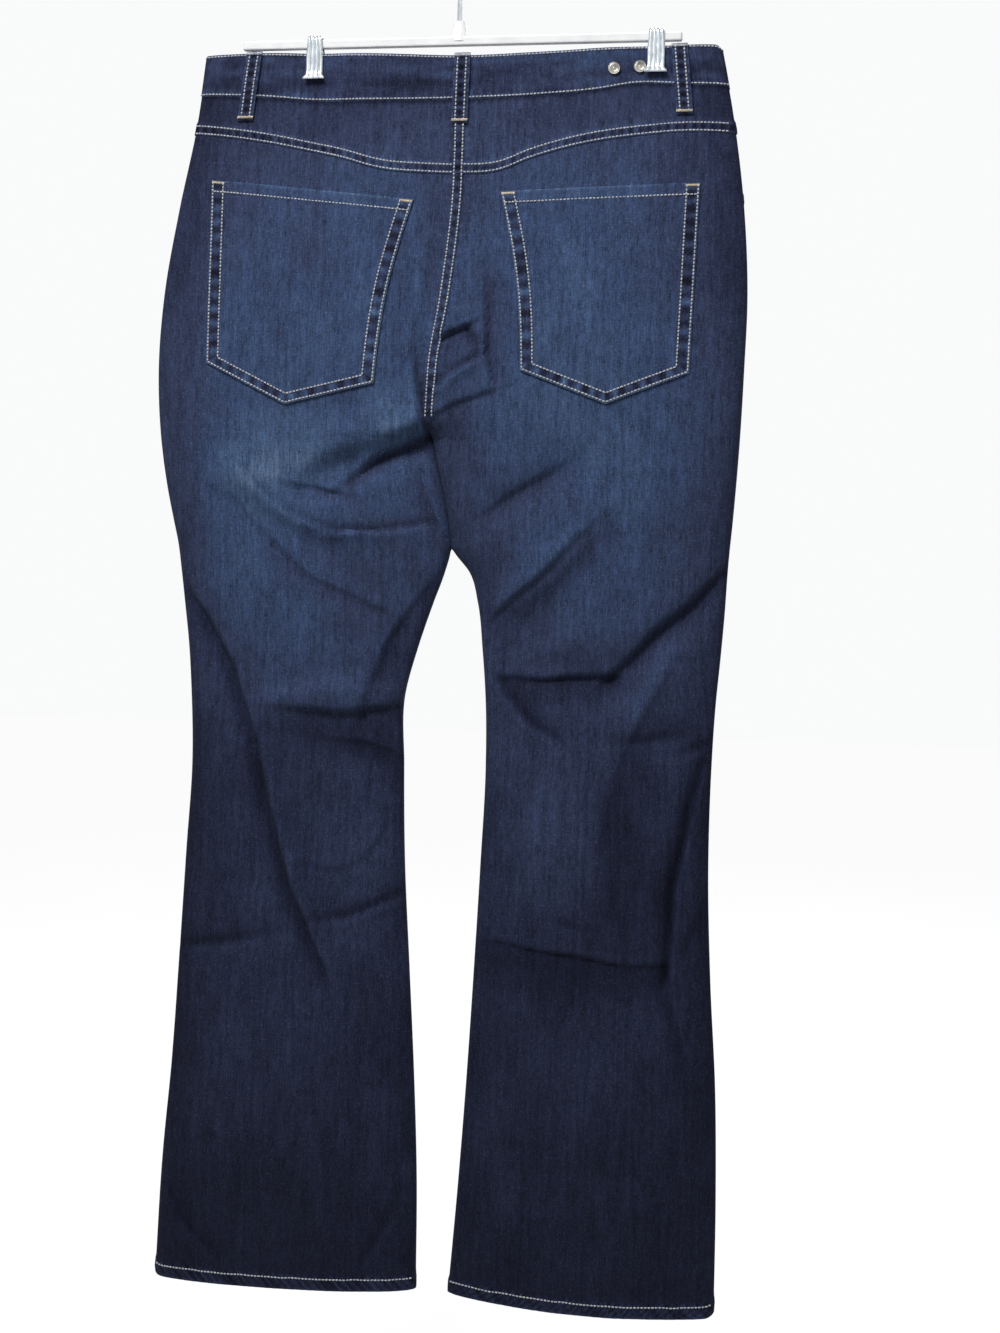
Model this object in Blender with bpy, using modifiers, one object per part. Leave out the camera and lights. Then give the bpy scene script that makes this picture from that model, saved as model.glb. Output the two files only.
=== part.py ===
"""Bootcut five-pocket jeans hung by the waistband from a bar hanger with two metal clips.

Lengths are millimetres, and MM turns them into metres. +Z is up and the origin is the underside of the
hook's top, where the rail carries it. The back of the jeans faces -Y. "drop" is the distance below the
waistband's top edge. A leg is -1 on the left of the back view and +1 on its right, and a face is -1 at
the back and +1 at the front.
"""

import math

import bmesh
import bpy
import numpy as np

MM = 0.001

# Driving sizes
BAND_TOP = -110.0
BAND_HEIGHT = 37.0
FRONT_BAND_HEIGHT = 34.0
BAND_PROUD = 0.6
BAND_THICK = 2.6
CLOTH = 1.5
SEAM_GAP = 0.3
CROTCH = 325.0
CLEFT_START = {-1: 205.0, 1: 225.0}
THIGH_GAP = 0.8
SQUARENESS = 2.6
EDGE_TURN = 8
SETTLE_STEPS = 6
CENTRE_X = 3.0

# Outline of the hanging garment, seen square from the back. The inner columns are the centre back seam
# down to the crotch, and the two inseams below it.
OUTLINE_COLUMNS = ("drop", "left_out", "left_in", "right_in", "right_out")
OUTLINE = (
    (0, -218, 3, 3, 218),
    (60, -226, 4, 4, 230),
    (130, -240, 4, 4, 240),
    (205, -252, -3, -3, 245),
    (265, -255.5, -12, -12, 244),
    (325, -252, -14, -14, 242),
    (370, -245, -3, -3, 239.5),
    (395, -239.5, 1.5, 1.5, 237.8),
    (415, -235, 3.5, 4, 236.2),
    (436, -232, -1.5, 20, 235),
    (460, -229, -10, 27, 234),
    (500, -224, -23, 32, 231.5),
    (540, -221, -33, 35.5, 228.5),
    (600, -219, -32.5, 37, 226.3),
    (680, -223, -30, 34.5, 226.3),
    (770, -227.5, -24, 31, 230.5),
    (860, -232.5, -18, 27, 237),
    (950, -239.5, -13.5, 22, 240),
    (1052, -244, -12, 15, 241),
)

# Half the garment's thickness, from its mid plane to the outside of each face
DEPTH_COLUMNS = ("drop", "back", "front")
DEPTH = (
    (0, 8.5, 8.5),
    (40, 9.5, 9.5),
    (100, 15, 12),
    (190, 23, 15),
    (290, 25, 17),
    (380, 22, 17),
    (500, 18, 16),
    (660, 16, 15),
    (860, 15, 15),
    (1052, 17, 17),
)

# Edges that run across the garment, as drops at places across its width
BAND_TOP_EDGE = ((-220, 0), (-124, 0), (-60, 3), (3, 6), (80, 4), (165, 0), (220, 0))
BAND_SEAM = (
    (-230, 34), (-180, 37), (-101, 42), (3, 43), (69, 41), (119, 37), (152, 31), (193, 33), (230, 34),
)
YOKE_SEAM = (
    (-235, 61), (-179, 69), (-135, 77), (-100, 85), (-62, 96), (-22, 100),
    (4, 101), (38, 99), (64, 89), (95, 80), (137, 72), (170, 68), (240, 68),
)
HEM = {-1: (1052.0, 1051.0, 1046.5), 1: (1050.0, 1053.0, 1046.5)}

# The largest folds. A row runs from (x0, drop0) to (x1, drop1); bow is how far its middle bends to the
# right of that run, width its half width, height positive for a ridge and negative for a trough, and
# lean above 0 makes the side on the right of the run the steeper one.
FOLD_END = 0.35
FOLD_SPREAD = 1.4
FOLD_COLUMNS = ("face", "x0", "drop0", "x1", "drop1", "bow", "width", "height", "lean")
FOLDS = (
    (-1, -8, 322, -122, 366, 6, 15, -8.0, 0.3),
    (-1, -10, 302, -112, 340, 6, 17, 4.5, 0.0),
    (-1, -185, 345, -80, 398, 14, 15, 5.0, 0.0),
    (-1, -176, 372, -70, 452, -6, 16, -4.5, 0.0),
    (-1, -212, 470, -150, 610, -8, 17, -6.0, 0.3),
    (-1, -150, 590, -84, 790, -4, 18, -5.5, 0.3),
    (-1, -182, 520, -110, 720, -6, 20, 4.0, 0.0),
    (-1, -148, 548, -24, 542, -8, 13, 5.5, -0.3),
    (-1, -140, 576, -26, 590, 0, 16, -5.0, 0.0),
    (-1, -214, 764, -140, 742, 3, 14, -3.5, 0.0),
    (-1, -104, 744, -22, 712, 2, 14, -3.5, 0.0),
    (-1, 34, 384, 112, 338, 6, 15, -5.0, 0.0),
    (-1, 52, 462, 132, 382, 6, 17, 5.5, 0.3),
    (-1, 56, 502, 108, 438, 6, 17, -5.0, 0.0),
    (-1, 226, 436, 140, 520, -4, 17, -6.0, 0.2),
    (-1, 150, 522, 62, 522, 5, 15, -5.0, 0.0),
    (-1, 196, 478, 158, 580, 4, 18, 4.0, 0.0),
    (-1, 222, 600, 196, 785, 8, 18, -5.0, 0.2),
    (-1, 150, 578, 226, 572, -2, 13, -4.0, 0.0),
    (-1, 46, 738, 190, 760, 4, 14, -3.5, 0.0),
    (-1, -120, 840, -90, 1010, 8, 30, 3.0, 0.0),
    (-1, 120, 830, 150, 1010, -8, 30, 3.0, 0.0),
    (1, -40, 300, -190, 352, 8, 18, -6.0, 0.2),
    (1, 40, 306, 185, 366, -8, 18, -6.0, 0.2),
    (1, -30, 392, -150, 330, 4, 17, 4.0, 0.0),
    (1, 45, 470, 160, 395, 6, 18, 4.5, 0.0),
    (1, -205, 500, -90, 600, -8, 18, -5.0, 0.2),
    (1, 215, 520, 90, 588, 6, 18, -5.0, 0.0),
    (1, -200, 590, -60, 570, -6, 14, 4.0, 0.0),
    (1, 66, 640, 205, 620, 4, 15, -4.0, 0.0),
    (1, -120, 700, -150, 960, 8, 24, 3.5, 0.0),
    (1, 120, 700, 160, 940, -8, 24, 3.5, 0.0),
    (1, -205, 770, -70, 730, 5, 16, -4.0, 0.0),
    (1, 60, 790, 190, 830, -4, 16, -4.0, 0.0),
)

# Back pockets: the drop and x of each corner, and of the point at the bottom
POCKET_THICK = 1.4
POCKET_LIFT = 0.65
POCKET_COLUMNS = ("leg", "corner", "x", "drop")
POCKETS = (
    (-1, "top_out", -208, 107),
    (-1, "top_in", -32, 127),
    (-1, "low_in", -61, 280),
    (-1, "point", -137, 298),
    (-1, "low_out", -207, 263),
    (1, "top_in", 41, 121),
    (1, "top_out", 204, 114),
    (1, "low_out", 200, 270),
    (1, "point", 133, 296),
    (1, "low_in", 62, 269),
)
POCKET_BOW = 5.0

# Belt loops: x and drop of the top and of the bottom
LOOP_WIDTH = 13.5
LOOP_THICK = 2.2
LOOP_COLUMNS = ("name", "face", "x_top", "x_low", "drop_top", "drop_low")
LOOPS = (
    ("belt_loop_back_left", -1, -174, -181, -1, 57),
    ("belt_loop_back_centre", -1, 5, 4, 4.5, 63),
    ("belt_loop_back_right", -1, 184, 190, -1, 57),
    ("belt_loop_front_left", 1, -94, -96, 0, 59),
    ("belt_loop_front_right", 1, 100, 102, 0, 59),
)
LOOP_LIFT = ((0.0, 0.95), (0.25, 1.9), (0.5, 2.2), (0.72, 1.5), (1.0, 0.5))

# Front pocket openings and their facings, and the fly
SCOOP_CORNER = 228.0
SCOOP_WIDE = 98.0
SCOOP_DEEP = 84.0
FACING_SUNK = 2.4
FACING_UNDER = 12.0
FACING_THICK = 1.2
FLY_X = (-34.0, 10.0)
FLY_LOW = 205.0
FRONT_DIP = 9.0
LAP_HALF = 19.0
LAP_STEP = BAND_THICK + 0.35
LAP_TURN = 0.42
LAP_EASE = 0.22

# Metal buttons: name, face, x, drop, radius, thickness
BUTTON_GAP = 0.35
BUTTON_COLUMNS = ("name", "face", "x", "drop", "radius", "thick")
BUTTONS = (
    ("waist_button", 1, 3, 32, 8.5, 3.2),
    ("back_button_inner", -1, 131, 19, 5.0, 1.4),
    ("back_button_outer", -1, 152, 17, 5.0, 1.4),
)

# Hanger
CLIP_X = {"left": -123.0, "right": 165.0}
PINCHED_DEPTH = 2.5
PINCH_WIDE = 30.0
PINCH_DEEP = 55.0
CLIP_WIDE = 14.5
CLIP_FOOT_WIDE = 18.5
CLIP_METAL = 0.9
CLIP_RIB = 0.7
CLIP_RIBS = 4
CLIP_LOW = 21.0
CLIP_GAP = 0.4
CLIP_FLARE = 3.0
CLIP_FOOT = ((3.8, 1.4), (2.4, -0.6), (0.7, -3.0))
CROWN_GAP = 1.0
CROWN_RISE = 2.6
BAR_LONG = 372.0
BAR_DEEP = 5.2
BAR_TALL = 8.0
BAR_DROP = -8.0
NECK_RADIUS = 4.0
NECK_FOOT = 8.0
NECK_FLAT = 0.4
BAR_ROUND = 1.6
NECK_TALL = 17.0
WIRE_RADIUS = 2.0
HOOK_INSIDE = 18.0
STEM_BEND = 44.0

# Mesh density
BACK_GRID = (42, 19)
FRONT_GRID = (30, 14)
YOKE_GRID = (4, 19)
BAND_GRID = (3, 96)
POCKET_GRID = (9, 11)
LOOP_GRID = (9, 3)
FACING_GRID = (6, 8)
FLY_GRID = (8, 4)

FACE_NAME = {-1: "back", 1: "front"}
LEG_NAME = {-1: "left", 1: "right"}
COLOURS = {
    "denim_seat": ((0.035, 0.055, 0.115), 0.85, 0.0),
    "denim_dark": ((0.020, 0.026, 0.060), 0.85, 0.0),
    "denim_band": ((0.028, 0.036, 0.080), 0.85, 0.0),
    "pewter": ((0.36, 0.34, 0.28), 0.35, 1.0),
    "chrome": ((0.80, 0.82, 0.84), 0.15, 1.0),
    "white_plastic": ((0.86, 0.87, 0.87), 0.35, 0.0),
}


def smooth_curve(xs, ys, x):
    """A smooth curve through the points of a table, read at x, and level beyond its ends."""
    xs = np.asarray(xs, float)
    ys = np.asarray(ys, float)
    x = np.clip(x, xs[0], xs[-1])
    slopes = np.gradient(ys, xs)
    i = np.clip(np.searchsorted(xs, x) - 1, 0, len(xs) - 2)
    step = xs[i + 1] - xs[i]
    t = (x - xs[i]) / step
    return (
        ys[i] * (1 + 2 * t) * (1 - t) ** 2
        + ys[i + 1] * t * t * (3 - 2 * t)
        + slopes[i] * step * t * (1 - t) ** 2
        + slopes[i + 1] * step * t * t * (t - 1)
    )


def column(table, names, name, at):
    rows = np.array(table, float)
    return smooth_curve(rows[:, 0], rows[:, names.index(name)], at)


def across(table, x):
    rows = np.array(table, float)
    return smooth_curve(rows[:, 0], rows[:, 1], x)


def edges(drop, leg, face):
    """x of the outseam and of the inner edge at a drop."""
    side = LEG_NAME[leg]
    outer = column(OUTLINE, OUTLINE_COLUMNS, side + "_out", drop)
    inner = column(OUTLINE, OUTLINE_COLUMNS, side + "_in", drop)
    if leg == 1:
        inner = np.maximum(inner, column(OUTLINE, OUTLINE_COLUMNS, "left_in", drop))
    if face == 1:
        crotch_x = column(OUTLINE, OUTLINE_COLUMNS, side + "_in", CROTCH)
        straight = CENTRE_X + (crotch_x - CENTRE_X) * (drop / CROTCH) ** 2
        inner = np.where(drop < CROTCH, straight, inner)
    gap = np.where(drop < CROTCH, SEAM_GAP / 2, THIGH_GAP / 2)
    return outer, inner + leg * gap


def closing(drop, face):
    """0 where the section is open at the centre seam, 1 where the leg is a closed tube."""
    start = CLEFT_START[face]
    return np.clip((drop - start) / (CROTCH - start), 0, 1)


def profile(s):
    return np.clip(1 - np.abs(s) ** SQUARENESS, 0, 1) ** (1 / SQUARENESS)


def turn_aside(s):
    """How far the cloth faces sideways at a place in the section."""
    return np.sign(s) * np.abs(s) ** EDGE_TURN


def pinch(x, drop, depth):
    """How far the two clips press the waistband's layers together."""
    fade = np.exp(-((np.maximum(drop - CLIP_LOW, 0) / PINCH_DEEP) ** 2))
    grip = sum(np.exp(-(((x - at) / PINCH_WIDE) ** 2)) for at in CLIP_X.values())
    return 1 - (1 - PINCHED_DEPTH / depth) * np.minimum(grip, 1) * fade


def fold_height(x, drop, face):
    """Sum of the folds at a place on one face."""
    total = np.zeros(np.broadcast(x, drop).shape)
    for row in FOLDS:
        fold = dict(zip(FOLD_COLUMNS, row))
        if fold["face"] != face:
            continue
        run_x = fold["x1"] - fold["x0"]
        run_d = fold["drop1"] - fold["drop0"]
        length = math.hypot(run_x, run_d)
        along = ((x - fold["x0"]) * run_x + (drop - fold["drop0"]) * run_d) / length**2
        off = ((x - fold["x0"]) * -run_d + (drop - fold["drop0"]) * run_x) / length
        inside = np.clip(along, 0, 1)
        off = off - fold["bow"] * 4 * inside * (1 - inside)
        beyond = (along - inside) * length
        width = fold["width"] * np.where(off > 0, 1 - fold["lean"], 1 + fold["lean"])
        taper = FOLD_END + (1 - FOLD_END) * np.sin(math.pi * inside) ** 0.7
        spread = (off / width) ** 2 + (beyond / fold["width"]) ** 2
        total = total + fold["height"] * taper * np.exp(-spread)
    return total


def face_depth(x, drop, leg, face):
    """(depth, s): how far the cloth stands from the mid plane, and its place in the section."""
    outer, inner = edges(drop, leg, face)
    end = closing(drop, face)
    s = -1 + np.clip((x - outer) / (inner - outer), 0, 1) * (1 + end)
    depth = column(DEPTH, DEPTH_COLUMNS, FACE_NAME[face], drop)
    shape = profile(s)
    folds = fold_height(x, drop, face) * np.minimum(FOLD_SPREAD * shape, 1)
    return np.maximum(depth * shape * pinch(x, drop, depth) + folds, SEAM_GAP / 2), s


def place(x, drop, leg, face, lift=0.0):
    """Points in millimetres at x and drop on one face, moved out of the cloth by lift."""
    depth, s = face_depth(x, drop, leg, face)
    sideways = -leg * turn_aside(s)
    outward = profile(s)
    away = np.maximum(depth + lift * outward, SEAM_GAP / 2)
    return np.stack([x + lift * sideways, face * away, BAND_TOP - drop], axis=-1)


def across_steps(count, drop, leg, face):
    """Places from the outseam to the inner edge, closer together where the section is round."""
    end_angle = np.arccos(-closing(drop, face))
    turn = np.linspace(0, 1, count) * end_angle
    reach = (1 - np.cos(turn)) / (1 + closing(drop, face))
    outer, inner = edges(drop, leg, face)
    return outer + (inner - outer) * reach


def patch(grid, leg, face, top, low):
    """x and drop of a grid that fills the panel between two edges that run across it."""
    rows, columns = grid
    down = np.linspace(0, 1, rows)[:, None] * np.ones(columns)
    x = np.full((rows, columns), leg * OUTLINE[0][-1] / 2)
    for _ in range(SETTLE_STEPS):
        drop = top(x) + (low(x) - top(x)) * down
        x = np.array(
            [[across_steps(columns, drop[r, c], leg, face)[c] for c in range(columns)] for r in range(rows)]
        )
    return x, drop


def hem_edge(leg):
    outer = column(OUTLINE, OUTLINE_COLUMNS, LEG_NAME[leg] + "_out", HEM[leg][0])
    inner = column(OUTLINE, OUTLINE_COLUMNS, LEG_NAME[leg] + "_in", HEM[leg][0])
    low = sorted(zip((outer, (outer + inner) / 2, inner), HEM[leg]))
    return lambda x: smooth_curve([p[0] for p in low], [p[1] for p in low], x)


def front_dip(x):
    """The front of the waistband hangs lower than the back between the clips."""
    middle = (CLIP_X["left"] + CLIP_X["right"]) / 2
    half = (CLIP_X["right"] - CLIP_X["left"]) / 2
    return FRONT_DIP * np.clip(1 - ((x - middle) / half) ** 2, 0, 1)


def band_top(x, face):
    return across(BAND_TOP_EDGE, x) + (front_dip(x) if face == 1 else 0)


def band_low(x, face):
    if face == 1:
        return band_top(x, 1) + FRONT_BAND_HEIGHT
    return across(BAND_SEAM, x)


def scoop_edge(x, leg):
    """Drop of the front pocket's curved mouth, measured from the waistband's seam."""
    away = np.clip(np.abs(x - leg * SCOOP_CORNER) / SCOOP_WIDE, 0, 1)
    return SCOOP_DEEP * np.sqrt(1 - away**2)


def material(name):
    found = bpy.data.materials.get(name)
    if found:
        return found
    colour, roughness, metallic = COLOURS[name]
    made = bpy.data.materials.new(name)
    made.use_nodes = True
    shader = made.node_tree.nodes["Principled BSDF"]
    shader.inputs["Base Color"].default_value = (*colour, 1)
    shader.inputs["Roughness"].default_value = roughness
    shader.inputs["Metallic"].default_value = metallic
    return made


def add_mesh(name, points, faces, slot, sharp=40):
    """A new object from points in millimetres, with its faces turned outwards."""
    mesh = bpy.data.meshes.new(name)
    mesh.from_pydata([tuple(p) for p in np.asarray(points) * MM], [], faces)
    cage = bmesh.new()
    cage.from_mesh(mesh)
    bmesh.ops.recalc_face_normals(cage, faces=cage.faces)
    cage.to_mesh(mesh)
    cage.free()
    mesh.shade_smooth()
    mesh.set_sharp_from_angle(angle=math.radians(sharp))
    mesh.materials.append(material(slot))
    made = bpy.data.objects.new(name, mesh)
    collection.objects.link(made)
    return made


def wall(name, outer, inner, slot):
    """A closed wall of cloth between two grids of points."""
    rows, columns = outer.shape[:2]
    points = np.concatenate([outer.reshape(-1, 3), inner.reshape(-1, 3)])
    back = rows * columns

    def at(r, c):
        return r * columns + c

    faces = []
    for r in range(rows - 1):
        for c in range(columns - 1):
            quad = (at(r, c), at(r, c + 1), at(r + 1, c + 1), at(r + 1, c))
            faces.append(quad)
            faces.append(tuple(back + i for i in reversed(quad)))
    rim = [at(0, c) for c in range(columns)]
    rim += [at(r, columns - 1) for r in range(1, rows)]
    rim += [at(rows - 1, c) for c in range(columns - 2, -1, -1)]
    rim += [at(r, 0) for r in range(rows - 2, 0, -1)]
    for a, b in zip(rim, rim[1:] + rim[:1]):
        faces.append((a, back + a, back + b, b))
    return add_mesh(name, points, faces, slot)


def cloth_patch(name, x, drop, leg, face, slot, lift=0.0, thick=CLOTH):
    return wall(
        name,
        place(x, drop, leg, face, lift),
        place(x, drop, leg, face, lift - thick),
        slot,
    )


def add_leg_back(leg):
    def top(x):
        return across(YOKE_SEAM, x) + SEAM_GAP / 2

    x, drop = patch(BACK_GRID, leg, -1, top, hem_edge(leg))
    cloth_patch("leg_back_" + LEG_NAME[leg], x, drop, leg, -1, "denim_seat")


def add_yoke(leg):
    def top(x):
        return band_low(x, -1) + SEAM_GAP

    def low(x):
        return across(YOKE_SEAM, x) - SEAM_GAP / 2

    x, drop = patch(YOKE_GRID, leg, -1, top, low)
    cloth_patch("yoke_" + LEG_NAME[leg], x, drop, leg, -1, "denim_dark")


def add_leg_front(leg):
    def top(x):
        return band_low(x, 1) + SEAM_GAP + scoop_edge(x, leg)

    x, drop = patch(FRONT_GRID, leg, 1, top, hem_edge(leg))
    cloth_patch("leg_front_" + LEG_NAME[leg], x, drop, leg, 1, "denim_dark")


def add_facing(leg):
    """The denim piece that shows inside a front pocket's mouth and runs on under its edge."""

    def top(x):
        return band_low(x, 1) + SEAM_GAP

    def low(x):
        return top(x) + scoop_edge(x, leg) + FACING_UNDER

    x, drop = patch((FACING_GRID[0], FRONT_GRID[1]), leg, 1, top, low)
    x = x[:, : FACING_GRID[1]]
    drop = drop[:, : FACING_GRID[1]]
    name = "pocket_facing_" + LEG_NAME[leg]
    cloth_patch(name, x, drop, leg, 1, "denim_dark", -FACING_SUNK, FACING_THICK)


def add_fly():
    """The strip behind the closed fly, a little inside both front panels."""
    rows, columns = FLY_GRID
    x = np.linspace(*FLY_X, columns) * np.ones((rows, 1))
    top = band_low(x, 1) + SEAM_GAP
    drop = top + (FLY_LOW - top) * np.linspace(0, 1, rows)[:, None]
    leg = np.where(x < CENTRE_X, -1, 1)
    left = place(x, drop, -1, 1, -CLOTH - SEAM_GAP)
    right = place(x, drop, 1, 1, -CLOTH - SEAM_GAP)
    outer = np.where((leg == -1)[..., None], left, right)
    inner = outer - np.array([0, CLOTH, 0])
    wall("fly_shield", outer, inner, "denim_dark")


def add_waistband():
    """One strip from its end under the button, round the back, to its end with the buttonhole."""
    rows, columns = BAND_GRID
    lap = math.asin(LAP_HALF / (OUTLINE[0][4] - CENTRE_X))
    turn = np.linspace(-lap, 2 * math.pi + lap, columns) * np.ones((rows, 1))
    down = np.linspace(0, 1, rows)[:, None]
    s = np.sin(turn)
    face = np.where(np.cos(turn) > 0, 1, -1)
    drop = BAND_HEIGHT * down * np.ones(columns)
    for _ in range(SETTLE_STEPS):
        left = column(OUTLINE, OUTLINE_COLUMNS, "left_out", drop)
        right = column(OUTLINE, OUTLINE_COLUMNS, "right_out", drop)
        half = np.where(s < 0, CENTRE_X - left, right - CENTRE_X)
        x = CENTRE_X + s * half
        top = np.where(face == 1, band_top(x, 1), band_top(x, -1))
        low = np.where(face == 1, band_low(x, 1), band_low(x, -1))
        drop = top + (low - top) * down
    depth = np.where(
        face == 1,
        column(DEPTH, DEPTH_COLUMNS, "front", drop),
        column(DEPTH, DEPTH_COLUMNS, "back", drop),
    )
    depth = depth * profile(s) * pinch(x, drop, depth)
    under = np.clip((LAP_TURN - turn) / LAP_EASE, 0, 1)
    depth = depth - LAP_STEP * under * under * (3 - 2 * under)
    sideways = turn_aside(s)

    def ring(lift):
        y = face * (depth + lift * profile(s))
        return np.stack([x + lift * sideways, y, BAND_TOP - drop], axis=-1)

    wall("waistband", ring(BAND_PROUD), ring(BAND_PROUD - BAND_THICK), "denim_band")


def add_pocket(leg):
    pockets = [dict(zip(POCKET_COLUMNS, row)) for row in POCKETS]
    corner = {p["corner"]: np.array([p["x"], p["drop"]]) for p in pockets if p["leg"] == leg}
    rows, columns = POCKET_GRID
    u = np.linspace(0, 1, columns)
    down = np.linspace(0, 1, rows)[:, None]
    top = corner["top_out"] + (corner["top_in"] - corner["top_out"]) * u[:, None]
    half = np.clip(u * 2, 0, 1)[:, None]
    rest = np.clip(u * 2 - 1, 0, 1)[:, None]
    low = corner["low_out"] + (corner["point"] - corner["low_out"]) * half
    low = low + (corner["low_in"] - corner["point"]) * rest
    bowed = POCKET_BOW * np.sin(math.pi * down) * leg * rest[:, 0]
    x = top[:, 0] + (low[:, 0] - top[:, 0]) * down + bowed
    drop = top[:, 1] + (low[:, 1] - top[:, 1]) * down
    name = "pocket_back_" + LEG_NAME[leg]
    cloth_patch(name, x, drop, leg, -1, "denim_seat", POCKET_LIFT + POCKET_THICK, POCKET_THICK)


def add_belt_loop(loop):
    rows, columns = LOOP_GRID
    down = np.linspace(0, 1, rows)[:, None]
    wide = np.linspace(-LOOP_WIDTH / 2, LOOP_WIDTH / 2, columns)
    x = loop["x_top"] + (loop["x_low"] - loop["x_top"]) * down + wide
    extra = front_dip(x) if loop["face"] == 1 else 0
    drop = loop["drop_top"] + (loop["drop_low"] - loop["drop_top"]) * down + extra + 0 * x
    lift = across(LOOP_LIFT, down) * np.ones(columns)
    leg = -1 if loop["x_top"] < CENTRE_X else 1
    base = place(x, np.maximum(drop, 0), leg, loop["face"])
    if abs(loop["x_top"] - CENTRE_X) < LOOP_WIDTH:
        other = place(x, np.maximum(drop, 0), -leg, loop["face"])
        base = np.where(((x - CENTRE_X) * leg > 0)[..., None], base, other)
    base[..., 2] = BAND_TOP - drop
    outward = np.array([0, loop["face"], 0])
    lower = base + (lift[..., None]) * outward
    wall(loop["name"], lower + LOOP_THICK * outward, lower, "denim_band")


def add_button(button):
    """A tack button: a low domed disc on a short shank, seated square on the band under it."""
    leg = -1 if button["x"] < CENTRE_X else 1
    radius = button["radius"]
    thick = button["thick"]
    face = button["face"]
    reach = button["x"] + np.array([-radius, 0.0, radius])
    left, seat, right = place(reach, button["drop"] + 0 * reach, leg, face, BAND_PROUD)
    along = (right - left) / np.linalg.norm(right - left)
    outward = face * np.array([-along[1], along[0], 0.0])
    up = np.array([0.0, 0.0, 1.0])
    sag = max(0.0, float(np.dot((left + right) / 2 - seat, outward)))
    rim = (
        (radius * 0.55, thick),
        (radius * 0.68, thick * 0.80),
        (radius * 0.88, thick * 0.92),
        (radius, thick * 0.62),
        (radius * 0.94, thick * 0.22),
        (radius * 0.60, 0.0),
    )
    sides = 14
    points = []
    for r, h in rim:
        for k in range(sides):
            a = 2 * math.pi * k / sides
            lift = h + sag + BUTTON_GAP
            points.append(seat + r * math.cos(a) * along + r * math.sin(a) * up + lift * outward)
    faces = [tuple(range(sides)), tuple(reversed(range((len(rim) - 1) * sides, len(rim) * sides)))]
    for i in range(len(rim) - 1):
        for k in range(sides):
            n = (k + 1) % sides
            faces.append((i * sides + k, i * sides + n, (i + 1) * sides + n, (i + 1) * sides + k))
    add_mesh(button["name"], points, faces, "pewter", 30)


def clip_path():
    """(y, drop) up the clip's back leg, over the bar and down its front leg."""
    grip = PINCHED_DEPTH + BAND_PROUD + CLIP_GAP
    crown = BAR_DROP - BAR_TALL / 2
    leg = [(grip + out, CLIP_LOW + down) for out, down in CLIP_FOOT]
    leg += [(grip, drop) for drop in np.linspace(CLIP_LOW - 9, crown + 2, 4)]
    turns = np.radians(np.linspace(160, 20, 8))
    arch = [(grip * math.cos(a), crown + CROWN_GAP - CROWN_RISE * math.sin(a)) for a in turns]
    return np.array([(-y, drop) for y, drop in leg] + arch + leg[::-1])


def add_clip(name, x):
    """A ribbed spring clip bent from one strip, which straddles the bar and grips both layers."""
    path = clip_path()
    tangent = np.gradient(path, axis=0)
    normal = np.stack([tangent[:, 1], -tangent[:, 0]], axis=1)
    normal /= np.linalg.norm(normal, axis=1)[:, None]
    wide = np.linspace(-0.5, 0.5, CLIP_RIBS * 2 + 1)
    rib = CLIP_RIB * (0.5 - 0.5 * np.cos(2 * math.pi * CLIP_RIBS * (wide + 0.5)))
    foot = np.exp(-(((path[:, 1] - path[0, 1]) / CLIP_FLARE) ** 2))[:, None]
    span = CLIP_WIDE + (CLIP_FOOT_WIDE - CLIP_WIDE) * foot

    def grid(lift):
        y = path[:, :1] + normal[:, :1] * lift
        drop = path[:, 1:] + normal[:, 1:] * lift
        return np.stack([x + span * wide, y, BAND_TOP - drop], axis=-1)

    wall(name, grid(CLIP_METAL + (1 - foot) * rib), grid(0 * rib), "chrome")


def add_bar():
    """The hanger's bar with its short neck, moulded in one."""
    bpy.ops.mesh.primitive_cube_add(size=1)
    bar = bpy.context.object
    bar.name = "hanger_bar"
    for vertex in bar.data.vertices:
        vertex.co.x *= BAR_LONG * MM
        vertex.co.y *= BAR_DEEP * MM
        vertex.co.z *= BAR_TALL * MM
    bar.location = (0, 0, (BAND_TOP - BAR_DROP) * MM)
    rounding = bar.modifiers.new("rounded_edges", "BEVEL")
    rounding.width = BAR_ROUND * MM
    rounding.segments = 3
    rounding.limit_method = "ANGLE"
    bpy.ops.mesh.primitive_cone_add(
        vertices=20,
        radius1=NECK_FOOT * MM,
        radius2=NECK_RADIUS * MM,
        depth=NECK_TALL * MM,
    )
    neck = bpy.context.object
    neck.name = "neck_cone"
    neck.scale = (1, NECK_FLAT, 1)
    neck.location = (0, 0, (BAND_TOP - BAR_DROP + NECK_TALL / 2) * MM)
    bpy.ops.object.transform_apply(location=False, rotation=False, scale=True)
    join = bar.modifiers.new("neck", "BOOLEAN")
    join.operation = "UNION"
    join.object = neck
    neck.hide_render = True
    neck.display_type = "WIRE"
    bar.data.materials.append(material("white_plastic"))
    for made, home in ((bar, collection), (neck, cutters)):
        for old in list(made.users_collection):
            old.objects.unlink(made)
        home.objects.link(made)


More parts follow.
